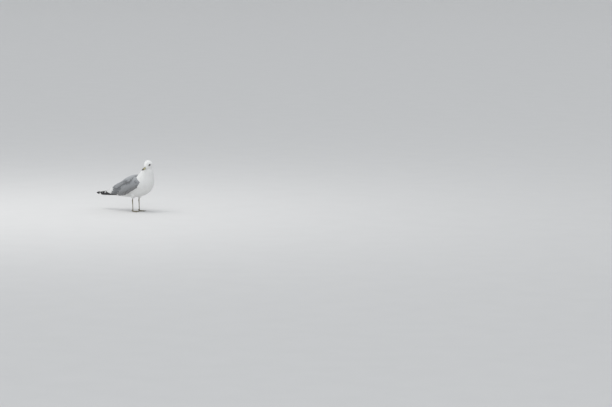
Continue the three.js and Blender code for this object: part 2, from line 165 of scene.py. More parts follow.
def tube_mesh(points):
    """Quads between neighbouring rings, the last column joined to the first, and a fan over each end."""
    rows, columns = points.shape[:2]
    index = np.arange(rows * columns).reshape(rows, columns)
    after = np.roll(index, -1, axis=1)
    quads = np.stack([index[:-1], index[1:], after[1:], after[:-1]], -1).reshape(-1, 4)
    ends = rows * columns + np.zeros((2, columns), int) + [[0], [1]]
    none = np.full(columns, -1)
    first = np.stack([ends[0], index[0], after[0], none], -1)
    final = np.stack([ends[1], after[-1], index[-1], none], -1)
    centres = points[[0, -1]].mean(axis=1)
    return np.vstack([points.reshape(-1, 3), centres]), np.vstack([quads, first, final])


def sheet_mesh(upper, under):
    """Two grids of the same size, face to face, with a band of quads round their rim."""
    rows, columns = upper.shape[:2]
    index = np.arange(rows * columns).reshape(rows, columns)
    face = np.stack([index[:-1, :-1], index[1:, :-1], index[1:, 1:], index[:-1, 1:]], -1).reshape(-1, 4)
    rim = np.concatenate([index[0, :-1], index[:-1, -1], index[-1, :0:-1], index[:0:-1, 0]])
    ahead = np.roll(rim, -1)
    band = np.stack([rim, ahead, ahead + rows * columns, rim + rows * columns], -1)
    faces = np.vstack([face, face[:, ::-1] + rows * columns, band])
    return np.vstack([upper.reshape(-1, 3), under.reshape(-1, 3)]), faces


def outward(points, faces):
    """The same faces, turned about if they enclose a negative volume."""
    a, b, c = (points[faces[:, k]] for k in (0, 1, 2))
    d = points[np.where(faces[:, 3] < 0, faces[:, 2], faces[:, 3])]
    volume = np.einsum("ij,ij->", a, np.cross(b, c)) + np.einsum("ij,ij->", a, np.cross(c, d))
    if volume > 0:
        return faces
    triangles = faces[:, 3] < 0
    return np.where(triangles[:, None], faces[:, [2, 1, 0, 3]], faces[:, ::-1])


def joined(meshes):
    """Several (points, faces) as one, every mesh with its faces pointing out."""
    points, faces, count = [], [], 0
    for these, those in meshes:
        those = outward(these, those)
        points.append(these)
        faces.append(np.where(those < 0, -1, those + count))
        count += len(these)
    return np.vstack(points), np.vstack(faces)


def new_piece(name, points, faces, flat=None):
    """A mesh object from points in millimetres and faces of four corners, or three with -1 after them."""
    mesh = bpy.data.meshes.new(name)
    corners = faces[faces >= 0]
    sizes = (faces >= 0).sum(axis=1)
    mesh.vertices.add(len(points))
    mesh.vertices.foreach_set("co", ((points + FROM_FEET_TO_ORIGIN) * 0.001).astype(np.float32).ravel())
    mesh.loops.add(len(corners))
    mesh.loops.foreach_set("vertex_index", corners.astype(np.int32))
    mesh.polygons.add(len(faces))
    mesh.polygons.foreach_set("loop_start", (np.cumsum(sizes) - sizes).astype(np.int32))
    smooth = np.ones(len(faces), bool) if flat is None else ~flat
    mesh.polygons.foreach_set("use_smooth", smooth)
    mesh.update(calc_edges=True)
    mesh.validate()
    piece = bpy.data.objects.new(name, mesh)
    bpy.context.scene.collection.objects.link(piece)
    return piece


def tube_piece(name, rings):
    """A closed tube as a piece of its own, its faces pointing out."""
    points, faces = tube_mesh(rings)
    return new_piece(name, points, outward(points, faces))


def belongs(piece, finish, slot, *nodes):
    """The piece gets its finish and rides on the gull's one body, in place of the solids named."""
    piece.data.materials.append(finish)
    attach(piece, "root")
    if nodes:
        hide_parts(*nodes)


class Value:
    """A socket in a finish. Arithmetic on it adds Math nodes."""

    def __init__(self, finish, socket):
        self.finish, self.socket = finish, socket

    def sum(self, operation, *terms):
        return self.finish.node("ShaderNodeMath", {"operation": operation}, dict(enumerate(terms)))

    def __add__(self, other):
        return self.sum("ADD", self, other)

    def __radd__(self, other):
        return self.sum("ADD", other, self)

    def __sub__(self, other):
        return self.sum("SUBTRACT", self, other)

    def __rsub__(self, other):
        return self.sum("SUBTRACT", other, self)

    def __mul__(self, other):
        return self.sum("MULTIPLY", self, other)

    def __rmul__(self, other):
        return self.sum("MULTIPLY", other, self)

    def __abs__(self):
        return self.sum("ABSOLUTE", self)

    def sine(self):
        return self.sum("SINE", self)

    def rise(self, start, end):
        """0 before start, 1 after end and an S-curve between."""
        sockets = {"Value": self, "From Min": start, "From Max": end}
        return self.finish.node("ShaderNodeMapRange", {"interpolation_type": "SMOOTHSTEP"}, sockets)


class Finish:
    """A material under construction round its Principled shader."""

    def __init__(self, name, roughness, **constants):
        self.material = bpy.data.materials.new(name)
        self.material.use_nodes = True
        self.tree = self.material.node_tree
        self.shader = self.tree.nodes["Principled BSDF"]
        self.feed("Roughness", roughness)
        for socket, value in constants.items():
            self.feed(socket.replace("_", " "), value)

    def node(self, kind, settings, sockets, output=0):
        """Adds a node: first its settings, then the values or links of its sockets."""
        made = self.tree.nodes.new(kind)
        for key, value in settings.items():
            setattr(made, key, value)
        for key, value in sockets.items():
            if isinstance(value, Value):
                self.tree.links.new(value.socket, made.inputs[key])
            else:
                made.inputs[key].default_value = value
        return Value(self, made.outputs[output])

    def feed(self, socket, value):
        if isinstance(value, Value):
            self.tree.links.new(value.socket, self.shader.inputs[socket])
        else:
            self.shader.inputs[socket].default_value = value

    def place(self):
        return self.node("ShaderNodeTexCoord", {}, {}, "Object")

    def attribute(self, name, output="Fac"):
        return self.node("ShaderNodeAttribute", {"attribute_name": name}, {}, output)

    def split(self, vector):
        return [self.node("ShaderNodeSeparateXYZ", {}, {0: vector}, axis) for axis in "XYZ"]

    def noise(self, vector, scale, detail=3.0, roughness=0.5):
        sockets = {"Vector": vector, "Scale": scale, "Detail": detail, "Roughness": roughness}
        return self.node("ShaderNodeTexNoise", {}, sockets)

    def mix(self, share, first, second):
        return self.node("ShaderNodeMix", {"data_type": "RGBA"}, {0: share, 6: first, 7: second}, 2)

    def shaded(self, colour, share):
        """A colour multiplied by a grey."""
        grey = self.node("ShaderNodeCombineXYZ", {}, {0: share, 1: share, 2: share})
        return self.node("ShaderNodeMix", {"data_type": "RGBA", "blend_type": "MULTIPLY"},
                         {0: 1.0, 6: colour, 7: grey}, 2)

    def bump(self, height, distance, strength=1.0):
        sockets = {"Height": height, "Distance": distance, "Strength": strength}
        self.feed("Normal", self.node("ShaderNodeBump", {}, sockets))


def rgba(colour, share=1.0):
    return (*(np.asarray(colour) * share), 1.0)


def bare_form():
    """The lofts of body, head and thighs and the arch of the folded wings, each sunk by its coat."""
    along, around = ring_grid(0.004, 0.996, 90, 72)
    body = tube_mesh(sunk(body_point, along, around, COAT_DEPTH["body"]))
    head_along, head_around = ring_grid(0.01, 0.99, 60, 60)
    coat = COAT_DEPTH["head"]
    face = np.interp(head_along, [0.0, 0.78, 1.0], [coat, coat, -0.9])[..., None]
    head = tube_mesh(sunk(head_point, head_along, head_around, face))
    meshes = [body, head]
    for side in SIDES.values():
        down, turn = ring_grid(0.0, 0.97, 30, 32)
        thigh = sunk(lambda u, v: thigh_point(side, u, v), down, turn, COAT_DEPTH["thigh"], -1)
        meshes.append(tube_mesh(thigh))
    across = np.concatenate([np.linspace(1, 0.004, 34), np.linspace(0.004, 1, 34)])
    sides = np.repeat([-1, 1], 34)
    run = np.linspace(0.0, 0.82, 72)
    faces = []
    for depth in (COAT_DEPTH["wing"], 8.0):
        halves = []
        for side in (-1, 1):
            u, v = np.meshgrid(run, across[sides == side], indexing="ij")
            halves.append(sunk(lambda a, b: wing_point(side, a, b), u, v, depth, -side))
        faces.append(np.concatenate(halves, axis=1))
    meshes.append(sheet_mesh(*faces))
    return joined(meshes)


rough_form = new_piece("rough_form", *bare_form())
remesh = rough_form.modifiers.new("one_skin", "REMESH")
remesh.mode, remesh.voxel_size = "VOXEL", 0.0019
smooth = rough_form.modifiers.new("soft", "SMOOTH")
smooth.factor, smooth.iterations = 0.5, 9
evaluated = rough_form.evaluated_get(bpy.context.evaluated_depsgraph_get())
skin_mesh = bpy.data.meshes.new_from_object(evaluated)
skin_points = np.empty(len(skin_mesh.vertices) * 3, np.float32)
skin_mesh.vertices.foreach_get("co", skin_points)
skin_points = skin_points.reshape(-1, 3) * 1000.0 - FROM_FEET_TO_ORIGIN
skin_corners = np.empty(len(skin_mesh.loops), np.int32)
skin_mesh.loops.foreach_get("vertex_index", skin_corners)
skin_faces = skin_corners.reshape(-1, 4)
bpy.data.objects.remove(rough_form)
skin = new_piece("skin", skin_points, skin_faces)


def plumage_tint(points):
    """White, but grey over the back between the wings and over the folded forearms."""
    x, y, z = np.moveaxis(points, -1, 0)
    grey = (x < 42) & (x > -112) & (z > np.interp(x, [-160, -60, -20, 8, 60], [95, 110, 122, 138, 165]))
    grey &= (np.abs(y) > np.interp(x, [-150, -60, 40, 60], [0, 0, 0, 50])) | (x < 40)
    return np.where(grey[:, None], MANTLE, WHITE)


def set_attribute(piece, name, kind, values):
    key = {"FLOAT": "value", "FLOAT_COLOR": "color", "FLOAT_VECTOR": "vector"}[kind]
    layer = piece.data.attributes.new(name, kind, "POINT")
    layer.data.foreach_set(key, np.ascontiguousarray(values, np.float32).ravel())


skin_tint = plumage_tint(skin_points) * 0.85
set_attribute(skin, "tint", "FLOAT_COLOR", np.c_[skin_tint, np.ones(len(skin_points))])
down = Finish("down_over_skin", 0.9, Sheen_Weight=0.3)
fuzz = down.noise(down.place(), 900.0, 4.0)
down.feed("Base Color", down.shaded(down.attribute("tint", "Color"), fuzz * 0.25 + 0.85))
down.bump(fuzz, 0.0006, 0.7)
belongs(skin, down.material, "plumage_white", "head", "neck", "trunk", "leg_right_thigh", "leg_left_thigh",
        "wing_right_arm", "wing_left_arm")

# ---- Contour feathers of the body ----
# Small soft vanes in shingled rows from the bill back to the tail, each lying over the roots of the next.
# White barbs on a fine shaft, loose at the tip; each is rooted in the skin and bends with it.
form = BVHTree.FromPolygons(skin_points.tolist(), skin_faces.tolist())
chance = np.random.default_rng(7)
VANE_PATCH = 0.003


def nearest(points):
    """The nearest places on the skin and the skin's facing there."""
    hits = [form.find_nearest(point) for point in points.tolist()]
    return np.array([hit[0] for hit in hits]), np.array([hit[1] for hit in hits])


def laid_on_skin(root, heading, length, steps):
    """Walks from each root along its heading over the skin in equal steps: the line its feather follows."""
    here, facing = nearest(root)
    line, facings = [here], [facing]
    heading = unit(heading - facing * np.einsum("ij,ij->i", heading, facing)[:, None])
    for _ in range(steps):
        there, facing = nearest(here + heading * (length / steps)[:, None])
        heading = unit(there - here)
        here = there
        line.append(here)
        facings.append(facing)
    line, facings = np.stack(line, 1), np.stack(facings, 1)
    inner = facings.copy()
    inner[:, 1:-1] = facings[:, :-2] + 2 * facings[:, 1:-1] + facings[:, 2:]
    return line, unit(inner)


def feather_mesh(name, line, facing, width, outline, lift, unwrap, tint, columns=4, thick=0.3, camber=0.08,
                 blunt=0.2, fray=0.05, roll=0.0, softness=0.5, patch=(VANE_PATCH, VANE_PATCH),
                 mark=(0, 0, 0)):
    """Vanes as lens-shaped closed sheets: a grid along and across each line, an under face in the same rim.
    Width times outline is the half width, lift the height over the line, and blunt rounds the tip off."""
    count, rows = line.shape[0], line.shape[1]
    ahead = unit(np.gradient(line, axis=1))
    aside = unit(np.cross(facing, ahead))
    length = np.linalg.norm(np.diff(line, axis=1), axis=-1).sum(axis=1)
    s = np.linspace(0, 1, rows)[None, :, None]
    x = np.linspace(-1, 1, columns + 1)[None, None, :]
    half = (np.asarray(width)[:, None] * outline)[:, :, None]
    loose = chance.uniform(-1, 1, (count, 1, columns + 1)) * fray * half.max(axis=1, keepdims=True) * s**4
    back = length[:, None, None] * blunt * np.abs(x) ** 2.2 * s**2 + loose
    rise = np.asarray(lift)[..., None] - camber * half * x**2 + roll * half * x
    sheet = (line[:, :, None] + aside[:, :, None] * (half * x)[..., None]
             - ahead[:, :, None] * back[..., None] + facing[:, :, None] * rise[..., None])
    under = sheet[:, 1:-1, 1:-1] - facing[:, 1:-1, None] * thick
    places = count * rows * (columns + 1)
    top = np.arange(places).reshape(count, rows, columns + 1)
    low = top.copy()
    inside = (count, rows - 2, columns - 1)
    low[:, 1:-1, 1:-1] = places + np.arange(math.prod(inside)).reshape(inside)

    def quads(grid):
        corners = [grid[:, :-1, :-1], grid[:, 1:, :-1], grid[:, 1:, 1:], grid[:, :-1, 1:]]
        return np.stack(corners, -1).reshape(-1, 4)

    faces = np.vstack([quads(top), quads(low)[:, ::-1]])
    flat = np.arange(len(faces)) >= len(faces) // 2
    piece = new_piece(name, np.vstack([sheet.reshape(-1, 3), under.reshape(-1, 3)]), faces, flat)

    def both(values):
        """Values on the upper grid, then the same ones on the under face's own points."""
        values = np.broadcast_to(values, sheet.shape[:3] + values.shape[3:])
        inner = values[:, 1:-1, 1:-1]
        kept = values.shape[3:]
        return np.concatenate([values.reshape(-1, *kept), inner.reshape(-1, *kept)])

    from_root = length[:, None, None] * s
    to_tip = length[:, None, None] * (1 - s)
    across = half * x
    vane = np.stack(np.broadcast_arrays(from_root, to_tip, across), -1)
    set_attribute(piece, "vane", "FLOAT_VECTOR", both(vane))
    set_attribute(piece, "rim", "FLOAT", both(half * (1 - np.abs(x))))
    # the light falls on a vane partly as on the smooth body under it
    own = unit(np.cross(np.gradient(sheet, axis=1), np.gradient(sheet, axis=2)))
    own *= np.sign(np.einsum("ijkl,ijl->ijk", own, facing))[..., None]
    shown = unit(own * (1 - softness) + facing[:, :, None] * softness)
    corners = np.empty(len(piece.data.loops), np.int32)
    piece.data.loops.foreach_get("vertex_index", corners)
    sizes, upper = np.empty(len(piece.data.polygons), np.int32), np.empty(len(piece.data.polygons), bool)
    piece.data.polygons.foreach_get("loop_total", sizes)
    piece.data.polygons.foreach_get("use_smooth", upper)
    normals = both(shown)[corners] * np.where(np.repeat(upper, sizes), 1, -1)[:, None]
    layer = piece.data.attributes.new("custom_normal", "FLOAT_VECTOR", "CORNER")
    layer.data.foreach_set("vector", normals.astype(np.float32).ravel())
    lot = chance.uniform(0, 1, count)[:, None, None]
    set_attribute(piece, "lot", "FLOAT", both(lot))
    tint = np.c_[tint, np.ones(count)][:, None, None]
    set_attribute(piece, "tint", "FLOAT_COLOR", both(tint))
    mark = np.broadcast_to(mark, (count, 3))[:, None, None]
    set_attribute(piece, "mark", "FLOAT_VECTOR", both(mark))
    spread = np.stack(np.broadcast_arrays((s - 0.5) * patch[0], 0.5 * x * patch[1]), -1)
    flat_map = both(unwrap[:, None, None] + spread)
    layer = piece.data.uv_layers.new(name="OFBake")
    layer.data.foreach_set("uv", flat_map[corners].astype(np.float32).ravel())
    return piece


def shingled(starts, ends, row_step, place_step):
    """Parameters of places in rows, each row half a step on from the last, with steps that may change."""
    rows, places = [], []
    at, odd = starts[0], 0.0
    while at <= ends[0]:
        low, high = starts[1](at), ends[1](at)
        count = max(1, round((high - low) / place_step(at)))
        across = low + (high - low) * (np.arange(count) + 0.25 + odd) / count
        rows.append(np.full(count, at))
        places.append(across)
        at += row_step(at)
        odd = 0.5 - odd
    return np.concatenate(rows), np.concatenate(places)


def vane_outline(rows, root=0.35, tip=0.6):
    """The half width along a vane: narrow at the root, widest past the middle, rounded in at the tip."""
    return np.interp(np.linspace(0, 1, rows), [0, 0.2, 0.5, 0.8, 1], [root, 0.72, 1.0, 0.94, tip])


def settling(s):
    """The rise of a vane over those below it, its tip sinking back onto them."""
    return (s - 0.24 * s**4)[None, :]


def feather_finish(name, fringe, fringe_width, streak, depth_shade, roughness):
    """Barbs slant from the shaft, the base is shaded, the fringe has its own colour, and vanes differ."""
    finish = Finish(name, roughness, Sheen_Weight=0.25, Sheen_Roughness=0.5)
    from_root, to_tip, across = finish.split(finish.attribute("vane", "Vector"))
    lot = finish.attribute("lot")
    aside = abs(across)
    barbs = ((from_root - aside * 1.2) * 12.0 + lot * 6.0).sine()
    web = finish.node("ShaderNodeCombineXYZ", {}, {0: from_root * 0.25 + lot * 40.0, 1: across * 2.6})
    splits = finish.noise(web, 1.0, 3.0)
    shaft = 1 - aside.rise(0.12, 0.45)
    depth = from_root.rise(0.0, 9.0) * depth_shade + (0.95 - depth_shade)
    shade = depth + lot * 0.05 + barbs * 0.012 + splits * 0.05 - shaft * streak
    ground = finish.shaded(finish.attribute("tint", "Color"), shade)
    near_tip = 1 - to_tip.rise(fringe_width * 0.4, fringe_width * 1.3)
    near_rim = 1 - finish.attribute("rim").rise(fringe_width * 0.2, fringe_width * 0.7)
    edge = near_tip.sum("MAXIMUM", near_tip, near_rim * 0.6)
    finish.feed("Base Color", finish.mix(edge, ground, fringe) if fringe else ground)
    finish.bump(barbs * 0.12 + splits * 0.8 + shaft * 0.3, 0.00008, 0.5)
    return finish.material


white_vanes = feather_finish("white_vanes", None, 0.6, 0.0, 0.03, 0.85)
grey_vanes = feather_finish("grey_vanes", rgba((0.33, 0.34, 0.355)), 0.8, 0.05, 0.07, 0.8)


def wing_cover(points):
    """How far each point lies under the folded wings: positive where they hide it."""
    x, y, z = np.moveaxis(points, -1, 0)
    front = np.interp(z, [130, 145, 166, 176, 187, 197], [48, 62, 72, 66, 50, 30])
    edge = np.interp(x, [-180, -138, -96, -56, -20, 8, 30, 50, 64],
                     [93, 87, 87, 91, 103, 118, 129, 138, 145])
    return np.minimum(np.minimum(front - x, z - edge), x + 138)


def grown(*pairs):
    """A measure that changes evenly from each (place, value) pair to the next."""
    return lambda at: np.interp(at, *zip(*pairs))


def rings_of_places(surface, first, last, row_step, spacing):
    """Places in rings round a loft: even along each ring, and half a step on from one ring to the next."""
    rows, turns = [], []
    at, odd = first, 0.0
    while at < last:
        turn = np.linspace(0, FULL_TURN, 241)
        ring = surface(np.full(241, at), turn)
        run = np.concatenate([[0], np.linalg.norm(np.diff(ring, axis=0), axis=1).cumsum()])
        count = round(run[-1] / spacing(at))
        turns.append(np.interp((np.arange(count) + odd) / count * run[-1], run, turn))
        rows.append(np.full(count, at))
        at += row_step(at)
        odd = 0.5 - odd
    return np.concatenate(rows), np.concatenate(turns)


def on_map(u, v):
    """A root's place on the flat map, inside a margin. Just before the seam it lands past the top."""
    return np.stack([0.02 + 0.96 * u, 0.02 + 0.96 * v % 1], -1)


def small_vanes(name, line, facing, width, lift, unwrap, tint, thick=0.1, tip=0.3):
    """Lays the coat's small white vanes: two cells wide, narrow at the root and loose at the tip."""
    outline = vane_outline(line.shape[1], 0.4, tip)
    vanes = feather_mesh(name, line, facing, width, outline, lift, unwrap, tint, columns=2, fray=0.1,
                         thick=thick, blunt=0.02)
    belongs(vanes, white_vanes, "plumage_white")


BODY_PARTS = {"plumage_vent": (0, 0.33), "plumage_belly": (0.33, 0.52), "plumage_breast": (0.52, 0.74),
              "plumage_neck": (0.74, 1)}
body_step = grown((0, 0.0092), (0.3, 0.0078), (0.55, 0.0062), (0.75, 0.0053), (1.0, 0.0043))
body_rows, body_turns = rings_of_places(body_point, 0.012, 0.995, body_step,
                                        grown((0, 3.0), (0.3, 2.7), (0.6, 2.1), (0.8, 1.75), (1, 1.4)))
body_rows += chance.uniform(-0.0016, 0.0016, len(body_rows))
body_turns += chance.uniform(-0.015, 0.015, len(body_rows))
body_rows = np.clip(body_rows, 0.008, 0.995)

along, across = slopes(body_point, body_rows, body_turns)
roots = sunk(body_point, body_rows, body_turns, COAT_DEPTH["body"])
reach = np.linalg.norm(along, axis=1) * body_step(body_rows)
on_skin, facing = nearest(roots)
buried = np.einsum("ij,ij->i", roots - on_skin, facing) < -2.2
hidden = wing_cover(on_skin) > 9
kept = ~buried & ~hidden
body_rows, body_turns, roots, reach, along = (
    each[kept] for each in (body_rows, body_turns, roots, reach, along))
heading = unit(-along) + chance.normal(0, 0.045, along.shape)
body_length = np.clip(reach * 6.0, 7.0, 30) * chance.uniform(0.85, 1.15, len(roots))
body_width = grown((0, 2.5), (0.3, 2.3), (0.6, 1.8), (0.8, 1.5), (1, 1.2))(body_rows)
body_width *= chance.uniform(0.9, 1.1, len(roots))
body_tint = plumage_tint(roots) * chance.uniform(0.96, 1.0, (len(roots), 1))
for name, (low, high) in BODY_PARTS.items():
    part = (body_rows >= low) & (body_rows < high)
    line, facings = laid_on_skin(roots[part], heading[part], body_length[part], 4)
    lift = 0.9 + 0.6 * settling(np.linspace(0, 1, 5)) + chance.uniform(-0.04, 0.04, (part.sum(), 1))
    unwrap = on_map((body_rows[part] - low) / (high - low), body_turns[part] / FULL_TURN)
    small_vanes(name, line, facings, body_width[part], lift, unwrap, body_tint[part])

# ---- Feathers of the head ----
# The shortest of the coat, like fine scales of down from the bill over the crown and cheeks to the nape.
# They leave the eyes bare, and are dusky just before the eye and, faintly, behind it.
EYE_RADIUS, EYE_OUT, EYE_OPENING = 5.3, 14.6, 4.3


def in_head(points):
    return (points - HEAD_AT) @ HEAD_FRAME


head_rows, head_turns = rings_of_places(
    head_point, 0.006, 0.992, grown((0, 0.019), (0.3, 0.018), (0.6, 0.0155), (0.85, 0.012), (1.0, 0.0095)),
    grown((0, 1.6), (0.3, 1.45), (0.6, 1.15), (0.85, 0.9), (1, 0.72)))
head_rows = np.clip(head_rows + chance.uniform(-0.006, 0.006, len(head_rows)), 0.004, 0.993)
head_turns += chance.uniform(-0.03, 0.03, len(head_rows))
along, across = slopes(head_point, head_rows, head_turns)
roots = sunk(head_point, head_rows, head_turns, COAT_DEPTH["head"])
on_skin, facing = nearest(roots)
buried = np.einsum("ij,ij->i", roots - on_skin, facing) < -1.6
buried &= (in_head(roots)[:, 0] < 12) & (head_rows > 0.08)
head_length = grown((0, 10.5), (0.3, 8.0), (0.6, 6.5), (0.85, 4.6), (1, 2.6))(head_rows)
head_length *= chance.uniform(0.9, 1.1, len(roots))
heading = unit(-along)
settle = np.interp(head_rows, [0.0, 0.35], [0.9, 0.0])[:, None]
heading = unit(heading * (1 - settle) + np.array([0, -0.15, -1.0]) * settle)
heading = heading + chance.normal(0, 0.05, heading.shape)
seen, way = in_head(roots), heading @ HEAD_FRAME
towards_eye = seen[:, 0] * way[:, 0] + seen[:, 2] * way[:, 2]
flat_speed = way[:, 0] ** 2 + way[:, 2] ** 2
outside = seen[:, 0] ** 2 + seen[:, 2] ** 2 - EYE_OPENING**2
meets = towards_eye**2 - flat_speed * outside
to_rim = (-towards_eye - np.sqrt(np.maximum(meets, 0))) / flat_speed
beside_eye = (np.abs(seen[:, 1]) > 10) & (meets > 0) & (to_rim > -0.5)
head_length = np.where(beside_eye, np.minimum(head_length, to_rim), head_length)
near_eye = (outside < 0) & (np.abs(seen[:, 1]) > 10) | (head_length < 1.0)
near_bill = seen[:, 0] > 24.5
kept = ~buried & ~near_eye & ~near_bill


def head_tint(points):
    """White, with a dusky smudge before the eye and a fainter one behind it."""
    x, y, z = np.moveaxis(in_head(points), -1, 0)
    before = np.exp(-(((x - 5.2) / 4.8) ** 2 + ((z + 2.2) / 3.8) ** 2))
    behind = np.exp(-(((x + 12.0) / 5.0) ** 2 + ((z + 2.0) / 5.0) ** 2))
    dusk = np.clip(1.1 * before + 0.14 * behind, 0, 1)[:, None] * (np.abs(y) > 6)[:, None]
    return WHITE * (1 - dusk) + np.array([0.11, 0.10, 0.095]) * dusk


# the rows close at the back of the head, where a patch of feathers hangs over their meeting
cap_y, cap_z = [grid.ravel() for grid in np.meshgrid(np.arange(-8, 8.1, 1.3), np.arange(-6, 9.1, 1.3))]
cap = np.stack([cap_y * 0 - 40, cap_y, cap_z], -1) + chance.uniform(-0.3, 0.3, (len(cap_y), 3))
cap = nearest(cap @ HEAD_FRAME.T + HEAD_AT)[0]
roots, heading = np.r_[roots[kept], cap], np.r_[heading[kept], cap * 0 + [0, 0, -1]]
head_length = np.r_[head_length[kept], chance.uniform(6.5, 8.0, len(cap))]
head_rows = np.r_[head_rows[kept], np.hypot(cap_y, cap_z) * 0.002]
head_turns = np.r_[head_turns[kept], np.arctan2(cap_z, cap_y)]
line, facings = laid_on_skin(roots, heading, head_length, 4)
lift = np.array([0.05, 0.60, 0.70, 0.80, 0.78]) + chance.uniform(-0.03, 0.03, (len(roots), 1))
width = grown((0, 1.35), (0.3, 1.2), (0.6, 0.95), (0.85, 0.75), (1, 0.6))(head_rows)
small_vanes("plumage_head", line, facings, width, lift, on_map(head_rows, head_turns / FULL_TURN % 1),
            head_tint(line[:, 3]), thick=0.06)

# ---- Ruff ----
# Where the turned head meets the neck, longer feathers hang from cheeks and nape and hide the fold.
# They are soft white vanes rooted in rings round the neck's top, each ring over the roots of the next.
levels, turns = np.meshgrid(np.arange(222.0, 256.0, 2.0), np.linspace(0, FULL_TURN, 86, endpoint=False),
                            indexing="ij")
levels = (levels + chance.uniform(-0.8, 0.8, levels.shape)).ravel()
turns = (turns + chance.uniform(-0.04, 0.04, turns.shape)).ravel()
beside = np.stack([86 + 40 * np.cos(turns), -3 + 40 * np.sin(turns), levels], -1)
roots, facing = nearest(beside)
roots, facing = nearest(np.c_[roots[:, :2], levels])
ahead_of_face = in_head(roots)
kept = (ahead_of_face[:, 0] < 13.5) & (np.hypot(ahead_of_face[:, 0], ahead_of_face[:, 2]) > 7)
kept &= (facing[:, 2] > -0.85) & (roots[:, 2] < 250)
roots, levels, turns = roots[kept], levels[kept], turns[kept]
length = np.interp(levels, [220, 236, 252], [13, 11, 7]) * chance.uniform(0.85, 1.15, len(levels))
heading = np.array([0, 0, -1.0]) + chance.normal(0, 0.05, roots.shape)
line, facings = laid_on_skin(roots, heading, length, 4)
lift = np.array([[-0.9, 0.05, 0.60, 0.95, 0.90]]) + chance.uniform(-0.05, 0.05, (len(roots), 1))
small_vanes("plumage_ruff", line, facings, np.full(len(roots), 1.25), lift,
            on_map((levels - 218) / 42, turns / FULL_TURN), np.repeat(WHITE[None], len(roots), 0))

# ---- Thigh feathers ----
# Short soft feathers that hang like breeches to just over the bare shank.
# They are rooted in rows round the thigh's skin and lean a little to the rear.
for name, side in SIDES.items():
    rows, turns = shingled((0.1, lambda at: 0.0), (0.93, lambda at: FULL_TURN), lambda at: 0.05,
                           lambda at: 2.3 / np.interp(at, [0, 0.5, 1], [15, 9, 4]))
    rows = rows + chance.uniform(-0.015, 0.015, len(rows))
    roots = sunk(lambda u, v: thigh_point(side, u, v), rows, turns, COAT_DEPTH["thigh"], -1)
    on_skin, facing = nearest(roots)
    kept = np.einsum("ij,ij->i", roots - on_skin, facing) > -2.0
    heading = np.array([-0.25, 0.0, -1.0]) + chance.normal(0, 0.06, roots.shape)
    length = np.interp(rows, [0, 0.6, 1], [13, 9, 5.5]) * chance.uniform(0.9, 1.1, len(rows))
    line, facings = laid_on_skin(roots[kept], heading[kept], length[kept], 5)
    lift = 0.7 + 0.5 * settling(np.linspace(0, 1, 6)) + np.zeros((kept.sum(), 1))
    small_vanes(f"plumage_thigh_{name}", line, facings, np.interp(rows[kept], [0, 1], [2.6, 1.5]), lift,
                on_map(rows[kept], turns[kept] / FULL_TURN), np.repeat(WHITE[None], kept.sum(), 0),
                thick=0.08, tip=0.42)

# ---- Mantle, scapulars and wing coverts ----
# Broad grey feathers with paler fringes. The mantle and scapulars drape from the back over the folded wing,
# and below them the coverts lie in rows that grow longer towards the wing's lower edge.


def wing_run(side, along, across):
    """The wing's surface and its facing, carried straight on past its rear and lower ends."""
    u, v = np.clip(along, 0, 1), np.clip(across, 0.002, 0.998)
    surface = lambda a, b: wing_point(side, a, b)
    run, drop = slopes(surface, u, v)
    place = surface(u, v) + run * (along - u)[..., None] + drop * (across - v)[..., None]
    return place, unit(-side * np.cross(run, drop))


def laid_on_wing(side, along, across, length, outward_lean, steps, curl=0.0):
    """The line of a feather over the wing: back along it, leaning a little towards its lower edge."""
    run, drop = slopes(lambda a, b: wing_point(side, a, b), along, across)
    s = np.linspace(0, 1, steps + 1)[None, :]
    lean = np.broadcast_to(outward_lean, along.shape)[:, None]
    i = along[:, None] + s * (length / np.linalg.norm(run, axis=-1))[:, None]
    j = across[:, None] + (s * lean + curl * s**2) * (length / np.linalg.norm(drop, axis=-1))[:, None]
    return wing_run(side, i, j)


def scapular_edge(at):
    return np.interp(at, [0, 0.14, 0.2, 0.28, 0.35, 0.55, 0.78], [0.10, 0.24, 0.36, 0.45, 0.50, 0.50, 0.44])


def covert_rows(first, last, row_step, low, high, place_step, length, width, lean, rise):
    """How a tract is laid: where its rows start and end, their steps, and each feather's size and lean."""
    return dict(starts=(first, low), ends=(last, high), row_step=row_step, place_step=place_step,
                length=length, width=width, lean=lean, rise=rise)


TRACTS = {
    "greater_coverts": covert_rows(
        0.17, 0.66, grown((0, 0.043)), grown((0, 0.84), (0.4, 0.82), (0.75, 0.79)),
        grown((0, 0.88), (0.4, 0.86), (0.75, 0.83)), grown((0, 0.1)),
        grown((0.17, 30), (0.4, 42), (0.75, 40)), grown((0, 8.5), (0.7, 10)), 0.20, (-1.9, -0.7)),
    "median_coverts": covert_rows(
        0.08, 0.62, grown((0, 0.040)), grown((0, 0.74), (0.4, 0.71), (0.7, 0.68)),
        grown((0, 0.87), (0.4, 0.84), (0.7, 0.82)), grown((0, 0.07)),
        grown((0.1, 20), (0.66, 32)), grown((0, 7), (0.7, 8.5)), 0.16, (-1.6, -0.1)),
    "lesser_coverts": covert_rows(
        0.004, 0.60, grown((0, 0.026), (0.6, 0.04)), lambda at: scapular_edge(at) - 0.08,
        grown((0, 0.95), (0.1, 0.90), (0.3, 0.82), (0.6, 0.74)), grown((0, 0.05), (0.6, 0.065)),
        grown((0, 12), (0.2, 17), (0.6, 24)), grown((0, 4.4), (0.6, 7.5)), 0.12, (-1.2, 0.3)),
    "scapulars": covert_rows(
        0.004, 0.68, grown((0, 0.027), (0.3, 0.036), (0.76, 0.046)), grown((0, 0.0)),
        scapular_edge, grown((0, 0.06), (0.3, 0.075), (0.76, 0.10)),
        grown((0, 15), (0.2, 24), (0.5, 36), (0.76, 46)), grown((0, 5.5), (0.3, 8.5), (0.76, 11.5)),
        0.05, (-0.6, 1.2)),
}
WING_LONG, WING_DEEP = 240, 100
